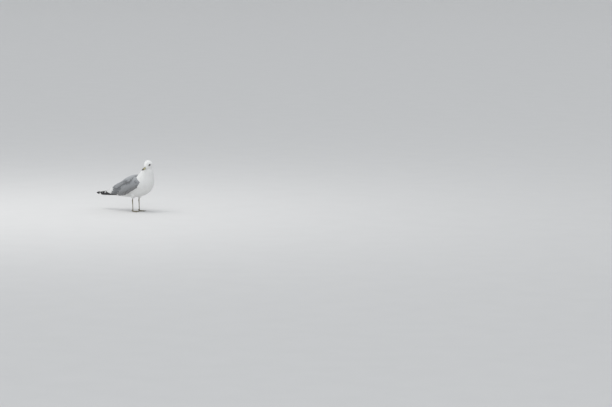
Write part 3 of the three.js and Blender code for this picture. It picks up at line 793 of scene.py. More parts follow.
DARK_SPOTS = [(0.16, 0.57), (0.10, 0.81), (0.495, 0.375), (0.665, 0.15), (0.67, 0.275), (0.80, 0.19),
              (0.05, 0.30)]
# the line of the scapulars' lower edge over the wing, along which a shadow is painted
SCAPULAR_SHADOW_LINE = [(0.10, 0.04), (0.14, 0.11), (0.205, 0.325), (0.275, 0.44), (0.36, 0.53), (0.50, 0.52),
             (0.66, 0.50)]


def wing_tint(along, across):
    """Grey, darker in a few spots, with a painted shadow along the scapulars' lower line and painted shade
    towards the wing's lower edge.
    """
    shade = chance.uniform(0.95, 1.05, len(along))
    for i, j in DARK_SPOTS:
        off = ((along - i) * WING_LONG / 7) ** 2 + ((across - j) * WING_DEEP / 6) ** 2
        shade *= 1 - 0.68 * np.exp(-off)
    # painted shadow: a dark band just under the scapulars' lower edge, where they overhang the coverts
    scapular_shadow_at = np.interp(along, *zip(*SCAPULAR_SHADOW_LINE))
    shadow_strength = np.interp(along, [0.02, 0.1, 0.32, 0.5, 0.8], [0, 0.98, 0.96, 0.80, 0.0])
    shade *= 1.18 - shadow_strength * np.exp(-(((across - scapular_shadow_at) * WING_DEEP / 7.5) ** 2))
    # painted shade: darker and a little browner towards the wing's lower edge, which the light from above
    # reaches less
    low = np.clip((across - 0.66) / 0.3, 0, 1)[:, None]
    return MANTLE * shade[:, None] * (1 - low * np.array([0.46, 0.49, 0.52]))


for name, side in SIDES.items():
    for tract, tells in TRACTS.items():
        rows, places = shingled(tells["starts"], tells["ends"], tells["row_step"], tells["place_step"])
        length, width = tells["length"](rows), tells["width"](rows)
        rows = rows + chance.uniform(-0.005, 0.005, len(rows))
        places = np.clip(places + chance.uniform(-0.006, 0.006, len(rows)), 0.004, 0.995)
        lean = tells["lean"] + chance.normal(0, 0.03, len(rows))
        behind = wing_run(side, rows, places)[0][:, 0] < 72
        rows, places, length, width, lean = [each[behind] for each in (rows, places, length, width, lean)]
        line, facings = laid_on_wing(side, rows, places, length, lean, 8)
        s = np.linspace(0, 1, 9)[None, :]
        start, end = tells["rise"]
        lift = start + (end - start) * settling(s[0]) + chance.uniform(-0.05, 0.05, (len(rows), 1))
        tint = wing_tint(rows + 6 / 8 * length / WING_LONG, places + 6 / 8 * lean * length / WING_DEEP)
        width = width * chance.uniform(0.94, 1.06, len(rows))
        piece = feather_mesh(f"{tract}_{name}", line, facings, width, vane_outline(9, 0.5, 0.70), lift,
                             on_map(np.clip(rows, 0, 1), places), tint, columns=6, fray=0.03, thick=0.2,
                             camber=0.045, blunt=0.14, roll=-0.03, softness=0.35)
        belongs(piece, grey_vanes, "plumage_grey")
    rows, places = shingled((-0.06, lambda at: 0.06), (0.0, lambda at: 0.98),
                            lambda at: 0.0085, lambda at: 0.017)
    rows = rows + chance.uniform(-0.006, 0.006, len(rows))
    behind = wing_run(side, rows, places)[0][:, 0] < 75
    rows, places = rows[behind], places[behind]
    line, facings = laid_on_wing(side, rows, places, chance.uniform(6, 12, len(rows)), 0.35, 4)
    lift = -1.1 + 2.3 * settling(np.linspace(0, 1, 5)) + chance.uniform(-0.1, 0.1, (len(rows), 1))
    unwrap = np.stack([0.4 + 5 * rows, 0.02 + 0.96 * places], -1)
    small_vanes(f"breast_side_{name}", line, facings, chance.uniform(1.5, 2.1, len(rows)), lift, unwrap,
                np.repeat(WHITE[None], len(rows), 0))

# the mantle runs over the ridge of the back from wing to wing
rows, places = shingled((-0.02, lambda at: -1.0), (0.74, lambda at: 1.0), lambda at: 0.03,
                        lambda at: 9.0 / (smooth_line(WING_TOP, max(at, 0))[1] + 4))
top = smooth_line(WING_TOP, rows)
roots = np.stack([top[:, 0], places * (top[:, 1] + 4), top[:, 2] - 0.5], -1)
length = np.interp(rows, [0, 0.3, 0.74], [16, 27, 38])
s = np.linspace(0, 1, 9)[None, :]
ahead = np.clip(rows[:, None] + s * (length / 235)[:, None], -0.05, 1.0)
line = smooth_line(WING_TOP, ahead)
line[..., 1] = (places * (top[:, 1] + 4))[:, None] * (1 - 0.15 * s)
line[..., 2] -= 1.2 * np.abs(places)[:, None]
facings = unit(np.cross(np.gradient(line, axis=1), np.array([0, 1.0, 0])) * -1)
facings = unit(facings * np.sign(facings[..., 2:]) + np.array([0, 0.35, 0]) * places[:, None, None])
lift = -0.6 + 2.0 * settling(s[0]) + chance.uniform(-0.05, 0.05, (len(rows), 1))
unwrap = np.stack([0.02 + 0.96 * np.clip(rows, 0, 1), 0.5 + 0.48 * places], -1)
tint = MANTLE * chance.uniform(0.95, 1.05, (len(rows), 1))
mantle = feather_mesh("mantle", line, facings, np.interp(rows, [0, 0.3, 0.74], [5.5, 7.5, 9.5]),
                      vane_outline(9, 0.5, 0.70), lift, unwrap, tint, columns=6, fray=0.03, thick=0.2,
                      camber=0.04, blunt=0.14, softness=0.35)
belongs(mantle, grey_vanes, "plumage_grey")

# ---- Tertials ----
# The innermost flight feathers, broad and grey, stacked like tiles over the folded wing's rear.
# Their white tips make the crescent that closes the grey. Each is a stiff vane on its own shaft.


def flight_finish(name, roughness, shaft_light):
    """Close barbs slanting from a strong shaft, a few splits in the web, and tips or mirrors of white."""
    finish = Finish(name, roughness, Specular_IOR_Level=0.35, Sheen_Weight=0.03, Sheen_Roughness=0.4)
    from_root, to_tip, across = finish.split(finish.attribute("vane", "Vector"))
    white_from, mirror_from, mirror_to = finish.split(finish.attribute("mark", "Vector"))
    aside = abs(across)
    ragged = finish.noise(finish.place(), 260.0, 4.0) * 3.0 - 1.5
    barbs = ((from_root - aside * 1.6) * 9.0).sine()
    web = finish.node("ShaderNodeCombineXYZ", {}, {0: (from_root - aside * 1.6) * 0.9, 1: across * 0.15})
    streaks = finish.noise(web, 1.0)
    shaft = 1 - aside.rise(0.25, 0.7)
    at = to_tip + ragged + aside * 0.25
    white = 1 - (at - white_from).rise(-0.8, 0.8)
    mirror = (at - mirror_from).rise(-0.8, 0.8) * (1 - (at - mirror_to).rise(-0.8, 0.8))
    shade = streaks * 0.22 + barbs * 0.02 + finish.attribute("lot") * 0.08 + 0.84
    ground = finish.shaded(finish.attribute("tint", "Color"), shade + shaft * shaft_light)
    rim_wear = 1 - finish.attribute("rim").rise(0.1, 0.9)
    worn = finish.mix(rim_wear * 0.25, ground, rgba((0.42, 0.42, 0.42)))
    pale = finish.mix(white.sum("MAXIMUM", white, mirror), worn, rgba(WHITE * 0.97))
    finish.feed("Base Color", pale)
    finish.bump(barbs * 0.2 + streaks * 0.8 + shaft * 2.0, 0.0003, 0.5)
    return finish.material


grey_flight = flight_finish("grey_flight_feather", 0.7, -0.25)
black_flight = flight_finish("black_flight_feather", 0.62, 0.3)
white_flight = flight_finish("white_flight_feather", 0.75, -0.05)


def cells(count, first, high):
    """Long cells one above another on the flat map: each feather's middle and its size there."""
    middle = np.stack([np.full(count, 0.5), first + high * (np.arange(count) + 0.5)], -1)
    return middle, (0.94, high * 0.86)


for name, side in SIDES.items():
    count = 6
    across = np.array([0.79, 0.68, 0.55, 0.40, 0.25, 0.10])
    start = np.array([0.60, 0.615, 0.63, 0.645, 0.66, 0.68])
    finish_at = np.array([1.05, 1.03, 1.01, 0.99, 0.975, 0.97])
    s = np.linspace(0, 1, 29)[None, :]
    i = start[:, None] + (finish_at - start)[:, None] * s
    j = across[:, None] + np.array([0.03, 0.03, 0.02, 0.0, -0.02, -0.02])[:, None] * s**2
    line, facings = wing_run(side, i, j)
    drop = np.array([0, 3.0, 7.0, 12.0, 17.0, 20.0])[:, None] * np.clip((s - 0.45) / 0.55, 0, 1) ** 1.6
    line = line - drop[..., None] * np.array([0, 0, 1.0])
    facings = unit(facings - np.array([0.35, 0, 0]) * (drop / 20)[..., None])
    rise = np.array([-1.6, -1.2, -0.8, -0.4, 0.0, 0.4])[:, None]
    stand_off = np.array([5.0, 4.6, 3.8, 2.6, 1.4, 0.6])[:, None] * np.clip((s - 0.45) / 0.55, 0, 1) ** 2
    lift = rise - 1.0 + 1.2 * s + stand_off
    outline = np.interp(np.linspace(0, 1, 29), [0, 0.15, 0.45, 0.75, 0.9, 1],
                        [0.45, 0.8, 1.0, 0.98, 0.86, 0.62])
    middle, patch = cells(count, 0.02, 0.16)
    white_web = np.array([[34, -9, -9], [30, -9, -9], [26, -9, -9], [22, -9, -9], [18, -9, -9],
                          [12, -9, -9]])
    # painted shade: the lower tertials darker, like the coverts towards the wing's lower edge
    tint = MANTLE * np.array([0.62, 0.78, 0.92, 1.0, 1.0, 1.0])[:, None]
    width = np.array([9, 10.5, 12, 11.5, 10.5, 9])
    piece = feather_mesh(f"tertials_{name}", line, facings, width, outline, lift, middle, tint, columns=14,
                         fray=0.02, thick=0.5, blunt=0.10, roll=-0.05, softness=0.3, patch=patch,
                         mark=white_web)
    belongs(piece, grey_flight, "plumage_grey", f"wing_{name}_tertials")

# ---- Primaries ----
# The long wing tip: black quills closed like a fan, the innermost outside, each a little short of the next.
# White tips step along the upper edge, and the outermost two have a white mirror behind the tip.
QUILL_TOP = [(-92, 30, 112), (-130, 25, 108), (-165, 19, 110), (-200, 12, 104), (-240, 8, 96),
             (-280, 4, 88)]
QUILL_LOW = [(-92, 41, 88), (-130, 34, 84), (-165, 26, 81), (-200, 18, 79), (-240, 11, 79.5),
             (-280, 5.5, 84)]
for name, side in SIDES.items():
    count = 6
    s = np.linspace(0, 1, 49)[None, :]
    tip = np.array([0.985, 0.93, 0.85, 0.76, 0.67, 0.58])[:, None]
    along = 0.13 + (tip - 0.13) * s
    at_tip = np.array([0.50, 0.46, 0.42, 0.38, 0.34, 0.30])[:, None]
    at_root = np.array([0.74, 0.71, 0.68, 0.65, 0.62, 0.59])[:, None]
    share = at_root + (at_tip - at_root) * s**1.5
    high, low = smooth_line(QUILL_TOP, along), smooth_line(QUILL_LOW, along)
    line = high + (low - high) * share[..., None]
    outward_way = unit(np.cross(np.gradient(line, axis=1), low - high))
    outward_way *= np.sign(outward_way[..., 1:2])
    lifted = (2.0 if side > 0 else 0.0) * np.clip((along - 0.2) / 0.8, 0, 1) ** 2
    line = (line + lifted[..., None] * (0, 0, 1)) * (1, side, 1)
    facings = outward_way * (1, side, 1)
    stacked = np.array([-1.2, -0.8, -0.4, 0.0, 0.4, 0.8])[:, None] * (1 - 0.5 * s)
    sunk_root, under_tertials = 15.0 * (1 - s) ** 4, 3.2 * (1 - np.clip((along - 0.42) / 0.25, 0, 1))
    lift = stacked - sunk_root - under_tertials
    outline = np.interp(np.linspace(0, 1, 49), [0, 0.1, 0.25, 0.5, 0.8, 0.92, 1],
                        [0.1, 0.35, 0.75, 1.0, 0.86, 0.66, 0.36])
    width = np.array([9.5, 9.5, 9.5, 9.5, 9.0, 8.5])
    middle, patch = cells(count, 0.02, 0.16)
    mark = np.array([[-9, 20, 36], [-9, 14, 22], [-9, -9, -9], [1.5, -9, -9], [7.5, -9, -9], [2.0, -9, -9]])
    tint = np.repeat(np.array([[0.013, 0.013, 0.014]]), count, 0)
    piece = feather_mesh(f"primaries_{name}", line, facings, width, outline, lift, middle, tint, columns=12,
                         fray=0.01, thick=0.45, camber=0.03, blunt=0.03, softness=0.3, patch=patch,
                         mark=mark)
    belongs(piece, black_flight, "flight_black", f"wing_{name}_primaries")

# ---- Tail ----
# Twelve white feathers closed under the wing tips, the middle pair on top, each outer one a little lower.
# Their stiff vanes are rooted in the rump and run straight back, square at the tip.
count = 12
rank = np.arange(count) - 5.5
across = np.sign(rank) * (np.abs(rank) - 0.5) / 5
s = np.linspace(0, 1, 33)[None, :]
tip_x = -241 + 5 * across**2
line = np.stack(np.broadcast_arrays(
    -114 + (tip_x[:, None] + 114) * s,
    across[:, None] * (9 + 6.5 * s),
    86.6 - 9.8 * s - 0.9 * across[:, None] ** 2 - 0.10 * np.abs(rank)[:, None]), -1)
facings = unit(np.stack(np.broadcast_arrays(0.08 + 0 * s, 0.12 * across[:, None] + 0 * s, 1.0 + 0 * s), -1))
lift = np.where(rank > 0, 0.12, 0.0)[:, None] + np.zeros_like(s)
outline = np.interp(np.linspace(0, 1, 33), [0, 0.2, 0.6, 0.9, 1], [0.6, 0.85, 1.0, 0.96, 0.72])
middle, patch = cells(count, 0.01, 0.08)
tail_feathers = feather_mesh("tail_feathers", line, facings, np.full(count, 9.5), outline, lift, middle,
                             np.repeat(WHITE[None], count, 0), columns=10, fray=0.004, thick=0.4,
                             camber=0.03, blunt=0.05, patch=patch, mark=(-9, -9, -9))
belongs(tail_feathers, white_flight, "plumage_white", "tail")

# ---- Bill ----
# Horn over bone in two halves that close along a fine line, the upper one hooked a little over the lower.
# Olive yellow, greener at the base and dark towards the tip, with a slit of a nostril on each side.
CULMEN = [(18, 0, -1.5), (27, 0, -2.8), (38, 0, -4.2), (48, 0, -6.3), (54, 0, -9.3), (56.5, 0, -13.8)]
TOMIUM = [(18, 5, -8.6), (27, 4, -9), (38, 3, -9.8), (48, 2.3, -11), (54, 1.5, -12.6), (56.5, 0.5, -14.2)]
GONYS = [(18, 0, -14.4), (27, 0, -14.6), (37, 0, -15.2), (43, 0, -15.4), (49, 0, -14.2), (53.4, 0, -12.9)]
LOWER_EDGE = [(18, 4.8, -8.9), (27, 3.8, -9.3), (37, 2.9, -10.1), (43, 2.5, -10.8), (49, 1.7, -11.6),
              (53.4, 0.5, -12.5)]
NOSTRIL_X, NOSTRIL_RISE = 31.5, 0.42


def bill_half(ridge_line, edge_line, along, around, nostril):
    """An arch from one cutting edge over the ridge to the other, closed underneath by a shallow hollow.
    The nostril presses a short groove into each flank."""
    ridge, edge = smooth_line(ridge_line, along), smooth_line(edge_line, along)
    rise = ridge[..., 2] - edge[..., 2]
    up = np.clip(np.sin(around), 0, 1) ** 0.8
    hollow = np.clip(-np.sin(around), 0, 1) * 0.12
    x = ridge[..., 0] + (edge[..., 0] - ridge[..., 0]) * (1 - up)
    y = edge[..., 1] * np.cos(around)
    z = edge[..., 2] + rise * (up + hollow)
    groove = np.exp(-(((x - NOSTRIL_X) / 3.0) ** 2 + ((up - NOSTRIL_RISE) / 0.10) ** 2)) * nostril
    y = y - np.sign(y) * 1.1 * groove
    return np.stack([x, y, z], -1), groove


horn = Finish("bill_horn", 0.38, Coat_Weight=0.15)
place = horn.attribute("place", "Vector")
out, rise, groove = horn.split(place)
mottle = horn.noise(horn.place(), 300.0, 4.0)
lines = horn.noise(horn.node("ShaderNodeCombineXYZ", {}, {0: out * 3.0, 1: rise * 26.0}), 1.0, 3.0)
side_tone = horn.mix(out.rise(0.0, 0.4), rgba((0.34, 0.335, 0.22)), rgba((0.50, 0.455, 0.25)))
# darker olive along each half's ridge: the culmen's own colour on the upper half, painted shade along the
# underside of the lower half
base = horn.mix(rise.rise(0.45, 0.9) * 0.85, side_tone, rgba((0.19, 0.175, 0.085)))
dark = (out + mottle * 0.14).rise(0.60, 0.76)
colour = horn.mix(dark * 0.95, base, rgba((0.022, 0.020, 0.018)))
# painted shade: the nostril's shallow groove near black, for the depth of its opening
colour = horn.mix(groove.rise(0.25, 0.8), colour, rgba((0.02, 0.018, 0.014)))
colour = horn.shaded(colour, mottle * 0.3 + lines * 0.22 + 0.74)
horn.feed("Base Color", colour)
horn.feed("Roughness", mottle * 0.25 + 0.28)
horn.bump(lines * 0.8 + mottle * 0.5, 0.00018, 0.5)
BILL_HALVES = (("bill_upper", CULMEN, TOMIUM, 1.0), ("bill_lower", GONYS, LOWER_EDGE, 0.0))
for name, ridge_line, edge_line, nostril in BILL_HALVES:
    along, around = ring_grid(-0.06, 1.0, 92, 64)
    shape, groove_depth = bill_half(ridge_line, edge_line, along, around, nostril)
    half = tube_piece(f"{name}_horn", from_head(shape))
    tell = np.stack([(shape[..., 0] - 18) / 38.5, np.abs(np.sin(around)), groove_depth], -1).reshape(-1, 3)
    set_attribute(half, "place", "FLOAT_VECTOR", np.vstack([tell, tell[[0, -1]]]))
    belongs(half, horn.material, "bill", name)

# ---- Eyes and lids ----
# A dark brown eye under a clear, wet cornea, a round ball set in the side of the head.
# Its lid is a thin ring of bare dark wrinkled skin that follows the head's flank.
eye_finish = Finish("wet_eye", 0.12, Coat_Weight=1.0, Coat_Roughness=0.02, Coat_IOR=1.28,
                    Specular_IOR_Level=0.1)
place = eye_finish.attribute("place", "Vector")
from_axis, turn, _ = eye_finish.split(place)
spokes = eye_finish.node("ShaderNodeCombineXYZ", {}, {0: turn * 14.0, 1: from_axis * 3.0})
rays = eye_finish.noise(spokes, 1.0, 4.0)
brown = eye_finish.mix(rays, rgba((0.030, 0.014, 0.007)), rgba((0.085, 0.040, 0.018)))
iris = eye_finish.shaded(brown, 1 - from_axis.rise(0.42, 0.62) * 0.7)
eye_finish.feed("Base Color", eye_finish.mix(from_axis.rise(0.26, 0.31), rgba((0.003, 0.003, 0.003)), iris))
lid_finish = Finish("lid_skin", 0.55)
wrinkle = lid_finish.noise(lid_finish.place(), 1400.0, 3.0)
lid_finish.feed("Base Color", lid_finish.shaded(rgba((0.030, 0.024, 0.022)), wrinkle * 0.9 + 0.55))
lid_finish.bump(wrinkle, 0.00015, 0.8)
LID_LONG, LID_HIGH, LID_THICK = 4.05, 3.8, 0.4


def head_side(x, z):
    """How far out the bare head's flank lies, at a place seen from the side."""
    t = np.linspace(0, 1, 400)
    cheek = smooth_line(CHEEK, t)
    share = np.interp(x, cheek[:, 0], t)
    wide, high, low = (smooth_line(each, share) for each in (CHEEK, CROWN, THROAT))
    reach = np.where(z > wide[..., 2], high[..., 2], low[..., 2]) - wide[..., 2]
    up = np.clip(np.abs((z - wide[..., 2]) / reach), 0, 1)
    return wide[..., 1] * np.sqrt(1 - up**2)


for name, side in SIDES.items():
    tilt, turn = ring_grid(0.02, math.pi - 0.02, 40, 48)
    ball = np.stack([np.sin(tilt) * np.cos(turn), -np.cos(tilt), np.sin(tilt) * np.sin(turn)], -1)
    ball = EYE_RADIUS * ball * (1, -side, 1) + np.array([0, side * EYE_OUT, 0])
    eye = tube_piece(f"eyeball_{name}", from_head(ball))
    tell = np.stack([tilt / math.pi, turn / 6.2832, 0 * tilt], -1).reshape(-1, 3)
    set_attribute(eye, "place", "FLOAT_VECTOR", np.vstack([tell, tell[[0, -1]]]))
    belongs(eye, eye_finish.material, "eye", f"eye_{name}")
    turn, round_lid = np.meshgrid(np.linspace(0, FULL_TURN, 72, endpoint=False),
                                  np.linspace(0, FULL_TURN, 14, endpoint=False), indexing="ij")
    swell = 1 + 0.12 * np.sin(turn * 23) * np.cos(round_lid)
    x = (LID_LONG + LID_THICK * np.cos(round_lid) * swell) * np.cos(turn) * (1 + 0.06 * np.cos(turn))
    z = (LID_HIGH + LID_THICK * np.cos(round_lid) * swell) * np.sin(turn)
    y = head_side(4.0 * np.cos(turn), 3.7 * np.sin(turn)) - 0.5 + 0.55 * np.sin(round_lid)
    points = from_head(np.stack([x, side * y, z], -1))
    rows, columns = turn.shape
    index = np.arange(rows * columns).reshape(rows, columns)
    beside, after = np.roll(index, -1, 1), np.roll(index, -1, 0)
    faces = np.stack([index, after, np.roll(after, -1, 1), beside], -1).reshape(-1, 4)
    points = points.reshape(-1, 3)
    lid = new_piece(f"lid_{name}", points, outward(points, faces))
    belongs(lid, lid_finish.material, "claw")

# ---- Shanks ----
# Bare legs in olive skin: broad plates down the front, fine round scales behind, and a swollen heel joint.
# Each is one tube round the bone, run up into the thigh's feathers and down into the foot.
SHANK = [(-0.6, 78, 2.6), (-0.8, 73, 2.5), (-1.8, 64, 2.5), (-2.4, 61, 3.2), (-2.4, 57, 3.4),
         (-1.8, 53, 2.7), (-0.8, 34, 2.1), (-0.2, 14, 2.2), (0, 7.3, 2.9), (0, 4.0, 3.2)]
PLATE_HIGH = 3.1
leg_skin = Finish("leg_skin", 0.5)
place = leg_skin.place()
scales = leg_skin.node("ShaderNodeTexVoronoi", {"feature": "DISTANCE_TO_EDGE"},
                       {"Vector": place, "Scale": 950.0})
gaps = 1 - scales.rise(0.02, 0.16)
mottle = leg_skin.noise(place, 120.0, 4.0)
tone = leg_skin.mix(mottle, rgba((0.150, 0.128, 0.070)), rgba((0.235, 0.208, 0.120)))
# painted shade in the grooves where each front plate drops back over the next
groove_shade = leg_skin.attribute("groove")
leg_skin.feed("Base Color", leg_skin.mix(gaps * 0.35 + groove_shade * 0.55, tone, rgba((0.050, 0.042, 0.028))))
leg_skin.feed("Roughness", mottle * 0.3 + 0.38)
leg_skin.bump(scales.rise(0.0, 0.22) + mottle * 0.5, 0.00022, 0.55)


def plates(run, high):
    """A row of overlapping plates: each swells out along its length and drops back at its lower end."""
    part = run / high - np.floor(run / high)
    return part**0.7 * (1 - np.clip((part - 0.82) / 0.18, 0, 1) ** 2)


for name, side in SIDES.items():
    down, around = ring_grid(0, 1, 240, 36)
    x, z, radius = np.moveaxis(smooth_line(SHANK, down), -1, 0)
    front = np.clip(np.cos(around), 0, 1) ** 0.6
    plate = plates(-z, PLATE_HIGH)
    knuckle = 1 + 0.03 * np.sin(z * 2.1)
    r = radius * (1 - 0.10 * np.abs(np.sin(around))) * knuckle + 0.22 * front * plate
    points = np.stack([LEG_X[side] + x + r * np.cos(around), side * LEG_Y + r * np.sin(around), z], -1)
    shank = tube_piece(f"shank_{name}", points)
    groove = (front * (1 - np.clip(plate * 3, 0, 1))).ravel()
    set_attribute(shank, "groove", "FLOAT", np.r_[groove, groove[[0, -1]]])
    belongs(shank, leg_skin.material, "leg_skin", f"leg_{name}_shank")

# ---- Feet ----
# Three long toes under small plates, joined by thin leathery webs with a hollow front edge,
# and a tiny hind toe that doesn't reach the floor.
TOES = {"inner": (28, 30), "middle": (36, 0), "outer": (35, -27)}
FOOT_TURN = {-1: 10, 1: -2}
CLAW_LONG, CLAW_THICK = 6.0, 1.15
web_skin = Finish("web_skin", 0.5)
place = web_skin.place()
scales = web_skin.node("ShaderNodeTexVoronoi", {"feature": "DISTANCE_TO_EDGE"},
                       {"Vector": place, "Scale": 700.0})
mottle = web_skin.noise(place, 150.0, 4.0)
tone = web_skin.mix(mottle, rgba((0.120, 0.102, 0.058)), rgba((0.190, 0.165, 0.095)))
gaps = (1 - scales.rise(0.01, 0.12)) * 0.4
web_skin.feed("Base Color", web_skin.mix(gaps, tone, rgba((0.09, 0.075, 0.045))))
web_skin.feed("Roughness", mottle * 0.3 + 0.36)
web_skin.bump(scales.rise(0.0, 0.2), 0.0002, 0.5)


def in_foot(points, side):
    """From a foot's own place, toes ahead, to its stand under the shank."""
    return points @ turned("Z", FOOT_TURN[side]).T + np.array([LEG_X[side], side * LEG_Y, 0])


def toe_shape(length, turn):
    """A tube along the floor, swelling at its knuckles, flat beneath, with plates across its top."""
    along, around = ring_grid(0, 1, 90, 24)
    swell = 1 + 0.13 * np.cos(along * 6 * math.pi)
    radius = (2.5 + (1.5 - 2.5) * along) * swell
    middle = 2.6 + (1.35 - 2.6) * along**0.6
    upper = np.clip(np.sin(around), 0, 1)
    plate = plates(along * length, 1.7)
    r = radius + 0.16 * plate * upper
    x, y, z = along * length, r * np.cos(around), np.maximum(0.02, middle + r * np.sin(around))
    flat_toe = np.stack([x, y, z], -1) @ turned("Z", turn).T
    groove = upper * (1 - np.clip(plate * 3, 0, 1))
    return flat_toe, groove


def web_shape(first, second):
    """A fan from under the shank to a front edge that bows back between two toes, rippled and thin."""
    u, v = np.meshgrid(np.linspace(0.0, 1, 44), np.linspace(0, 1, 40), indexing="ij")
    ends = [np.array([math.cos(math.radians(turn)), math.sin(math.radians(turn))]) * (length - 1)
            for length, turn in (first, second)]
    bisector = math.radians((first[1] + second[1]) / 2)
    bow = 0.83 * min(first[0], second[0]) * np.array([math.cos(bisector), math.sin(bisector)])
    share = v[..., None]
    front = (1 - share) ** 2 * ends[0] + 2 * share * (1 - share) * bow + share**2 * ends[1]
    flat_web = front * u[..., None]
    slack = np.sin(v * math.pi) * u
    ripple = 0.10 * np.sin(v * 19 + u * 3) * slack
    top = np.concatenate([flat_web, (1.5 - 0.35 * slack + ripple)[..., None]], -1)
    under = np.concatenate([flat_web, (0.12 + 0.25 * slack)[..., None]], -1)
    return top, under


for name, side in SIDES.items():
    toes = {key: (length, -side * spread) for key, (length, spread) in TOES.items()}
    meshes, grooves = [], []
    for length, turn in toes.values():
        shape, groove = toe_shape(length, turn)
        meshes.append(tube_mesh(in_foot(shape, side)))
        grooves.append(np.r_[groove.ravel(), groove[[0, -1], 0]])
    down, around = ring_grid(0, 1, 24, 32)
    dome = smooth_line([(0, 0.02, 3.6), (0, 1.2, 4.3), (0, 2.8, 4.35), (0, 5, 3.6), (0, 7.2, 3.0)], down)
    ball = np.stack([dome[..., 2] * np.cos(around), dome[..., 2] * np.sin(around), dome[..., 1]], -1)
    meshes.append(tube_mesh(in_foot(ball, side)))
    grooves.append(np.zeros(24 * 32 + 2))
    back, around = ring_grid(0, 1, 24, 18)
    toe_line = smooth_line([(-3.2, 9.2, 1.7), (-4.8, 8.6, 1.65), (-6.8, 7.5, 1.45), (-8.7, 6.1, 1.0),
                            (-9.3, 5.4, 0.6)], back)
    r = toe_line[..., 2] * (1 + 0.05 * np.sin(back * 22))
    hind = np.stack([toe_line[..., 0] - 0.5 * r * np.sin(around), r * np.cos(around),
                     toe_line[..., 1] + r * np.sin(around)], -1)
    hind_toe = tube_piece(f"small_toe_{name}", in_foot(hind, side))
    belongs(hind_toe, leg_skin.material, "leg_skin", f"hind_toe_{name}")
    foot = new_piece(f"toes_{name}", *joined(meshes))
    set_attribute(foot, "groove", "FLOAT", np.concatenate(grooves))
    belongs(foot, leg_skin.material, "leg_skin", f"foot_{name}")
    webs = []
    for first, second in (("inner", "middle"), ("middle", "outer")):
        webs.append(sheet_mesh(*(in_foot(face, side) for face in web_shape(toes[first], toes[second]))))
    web = new_piece(f"webs_{name}", *joined(webs))
    belongs(web, web_skin.material, "leg_skin", f"foot_{name}")

# ---- Claws ----
# Short curved horn points, blunt and dark, one at the end of each toe.
# Each is a tapering tube whose root is sunk in the toe's last joint.
claw_horn = Finish("claw_horn", 0.35)
grain = claw_horn.noise(claw_horn.place(), 900.0, 3.0)
claw_horn.feed("Base Color", claw_horn.shaded(rgba((0.035, 0.030, 0.026)), grain * 0.8 + 0.6))
claw_horn.feed("Roughness", grain * 0.25 + 0.25)
claw_horn.bump(grain, 0.0001, 0.5)
for name, side in SIDES.items():
    for toe, (length, spread) in TOES.items():
        out, around = ring_grid(0, 1, 22, 16)
        r = CLAW_THICK * (1 - 0.9 * out**1.3)
        bend = 0.55 * np.sin(out * math.pi * 0.8) - 0.5 * out**2
        claw = np.stack([length - 0.6 + (CLAW_LONG + 0.6) * out, 0.85 * r * np.cos(around),
                         1.6 + bend + r * np.sin(around)], -1)
        piece = tube_piece(f"claw_horn_{name}_{toe}", in_foot(claw @ turned("Z", -side * spread).T, side))
        belongs(piece, claw_horn.material, "claw", f"claw_{name}_{toe}")

# ---- Floor, light and camera ----
# A plain pale floor that curves up into a wall far off all round, under soft studio light.
# The camera stands at the bird's right side, a little ahead of it and a little above.
FLOOR_FLAT, WALL_ROUND = 24.0, 14.0
bend = np.linspace(0, 1.25, 24)
sweep = np.r_[np.c_[np.linspace(0.5, FLOOR_FLAT, 12), np.zeros(12)],
              np.c_[FLOOR_FLAT + WALL_ROUND * np.sin(bend[1:]), WALL_ROUND * (1 - np.cos(bend[1:]))]]
turn = np.linspace(0, FULL_TURN, 97)[:-1]
ring = np.stack([sweep[:, None, 0] * np.cos(turn), sweep[:, None, 0] * np.sin(turn),
                 np.repeat(sweep[:, 1:], 96, 1)], -1).reshape(-1, 3)
index = np.arange(len(ring)).reshape(-1, 96)
beside = np.roll(index, -1, 1)
quads = np.stack([index[:-1], index[1:], beside[1:], beside[:-1]], -1).reshape(-1, 4)
floor_mesh = bpy.data.meshes.new("floor")
floor_mesh.from_pydata(ring.tolist(), [], [*quads.tolist(), index[0].tolist()])
floor_mesh.shade_smooth()
floor = bpy.data.objects.new("floor", floor_mesh)
bpy.context.scene.collection.objects.link(floor)
pale_floor = Finish("pale_floor", 0.9)
cloud = pale_floor.noise(pale_floor.place(), 6.0, 4.0)
pale_floor.feed("Base Color", pale_floor.shaded(rgba((0.62, 0.615, 0.61)), cloud * 0.05 + 0.97))
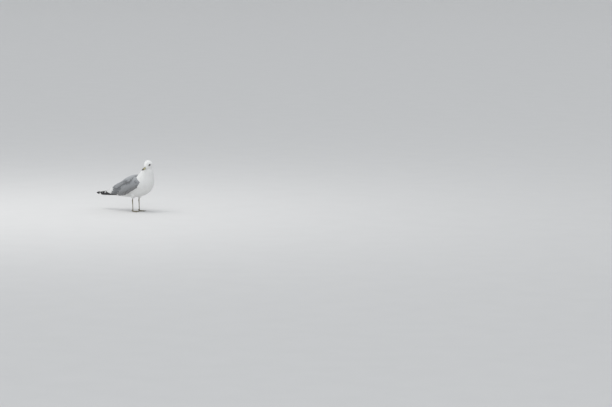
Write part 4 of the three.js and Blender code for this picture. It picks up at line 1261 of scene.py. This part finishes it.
floor_mesh.materials.append(pale_floor.material)

world = bpy.data.worlds.new("studio")
world.use_nodes = True
world.node_tree.nodes["Background"].inputs["Color"].default_value = (0.94, 0.97, 1.0, 1.0)
world.node_tree.nodes["Background"].inputs["Strength"].default_value = 0.88
bpy.context.scene.world = world
bpy.context.scene.view_settings.view_transform = "Standard"


def soft_lamp(name, place, aim, size, power, colour):
    """A square area lamp at one point, turned towards another."""
    lamp = bpy.data.lights.new(name, "AREA")
    lamp.shape, lamp.size, lamp.energy, lamp.color = "SQUARE", size, power, colour
    holder = bpy.data.objects.new(name, lamp)
    bpy.context.scene.collection.objects.link(holder)
    holder.location = place
    holder.rotation_mode = "QUATERNION"
    holder.rotation_quaternion = (Vector(aim) - Vector(place)).to_track_quat("-Z", "Y")
    return holder


soft_lamp("overhead", (-0.5, -0.6, 2.6), (0, 0, 0.12), 2.2, 32.0, (1.0, 0.99, 0.97))
soft_lamp("front_fill", (9.4, -13.0, 5.9), (0, 0, 0.12), 10.0, 300.0, (0.96, 0.98, 1.0))

# the camera looks 37 degrees round from the bird's side and 6 degrees down
VIEW_YAW, VIEW_RISE = math.radians(37), math.radians(6)
level = math.cos(VIEW_RISE)
towards = np.array([math.sin(VIEW_YAW) * level, -math.cos(VIEW_YAW) * level, math.sin(VIEW_RISE)])
right = np.array([math.cos(VIEW_YAW), math.sin(VIEW_YAW), 0.0])
above = np.cross(towards, right)
UNDER_BREAST, ASIDE, ABOVE, AWAY = np.array([80.2461, 0.0, 0.0]), 921.4, 42.3, 18295
aim = UNDER_BREAST + ASIDE * right + ABOVE * above
eye_point = (aim + AWAY * towards) * 0.001
camera_data = bpy.data.cameras.new("camera")
camera_data.sensor_width, camera_data.lens = 36.0, 198.6
camera_data.clip_end = 100.0
camera = bpy.data.objects.new("camera", camera_data)
bpy.context.scene.collection.objects.link(camera)
camera.matrix_world = Matrix([
    *([right[k], above[k], towards[k], eye_point[k]] for k in range(3)), [0, 0, 0, 1]])
bpy.context.scene.camera = camera
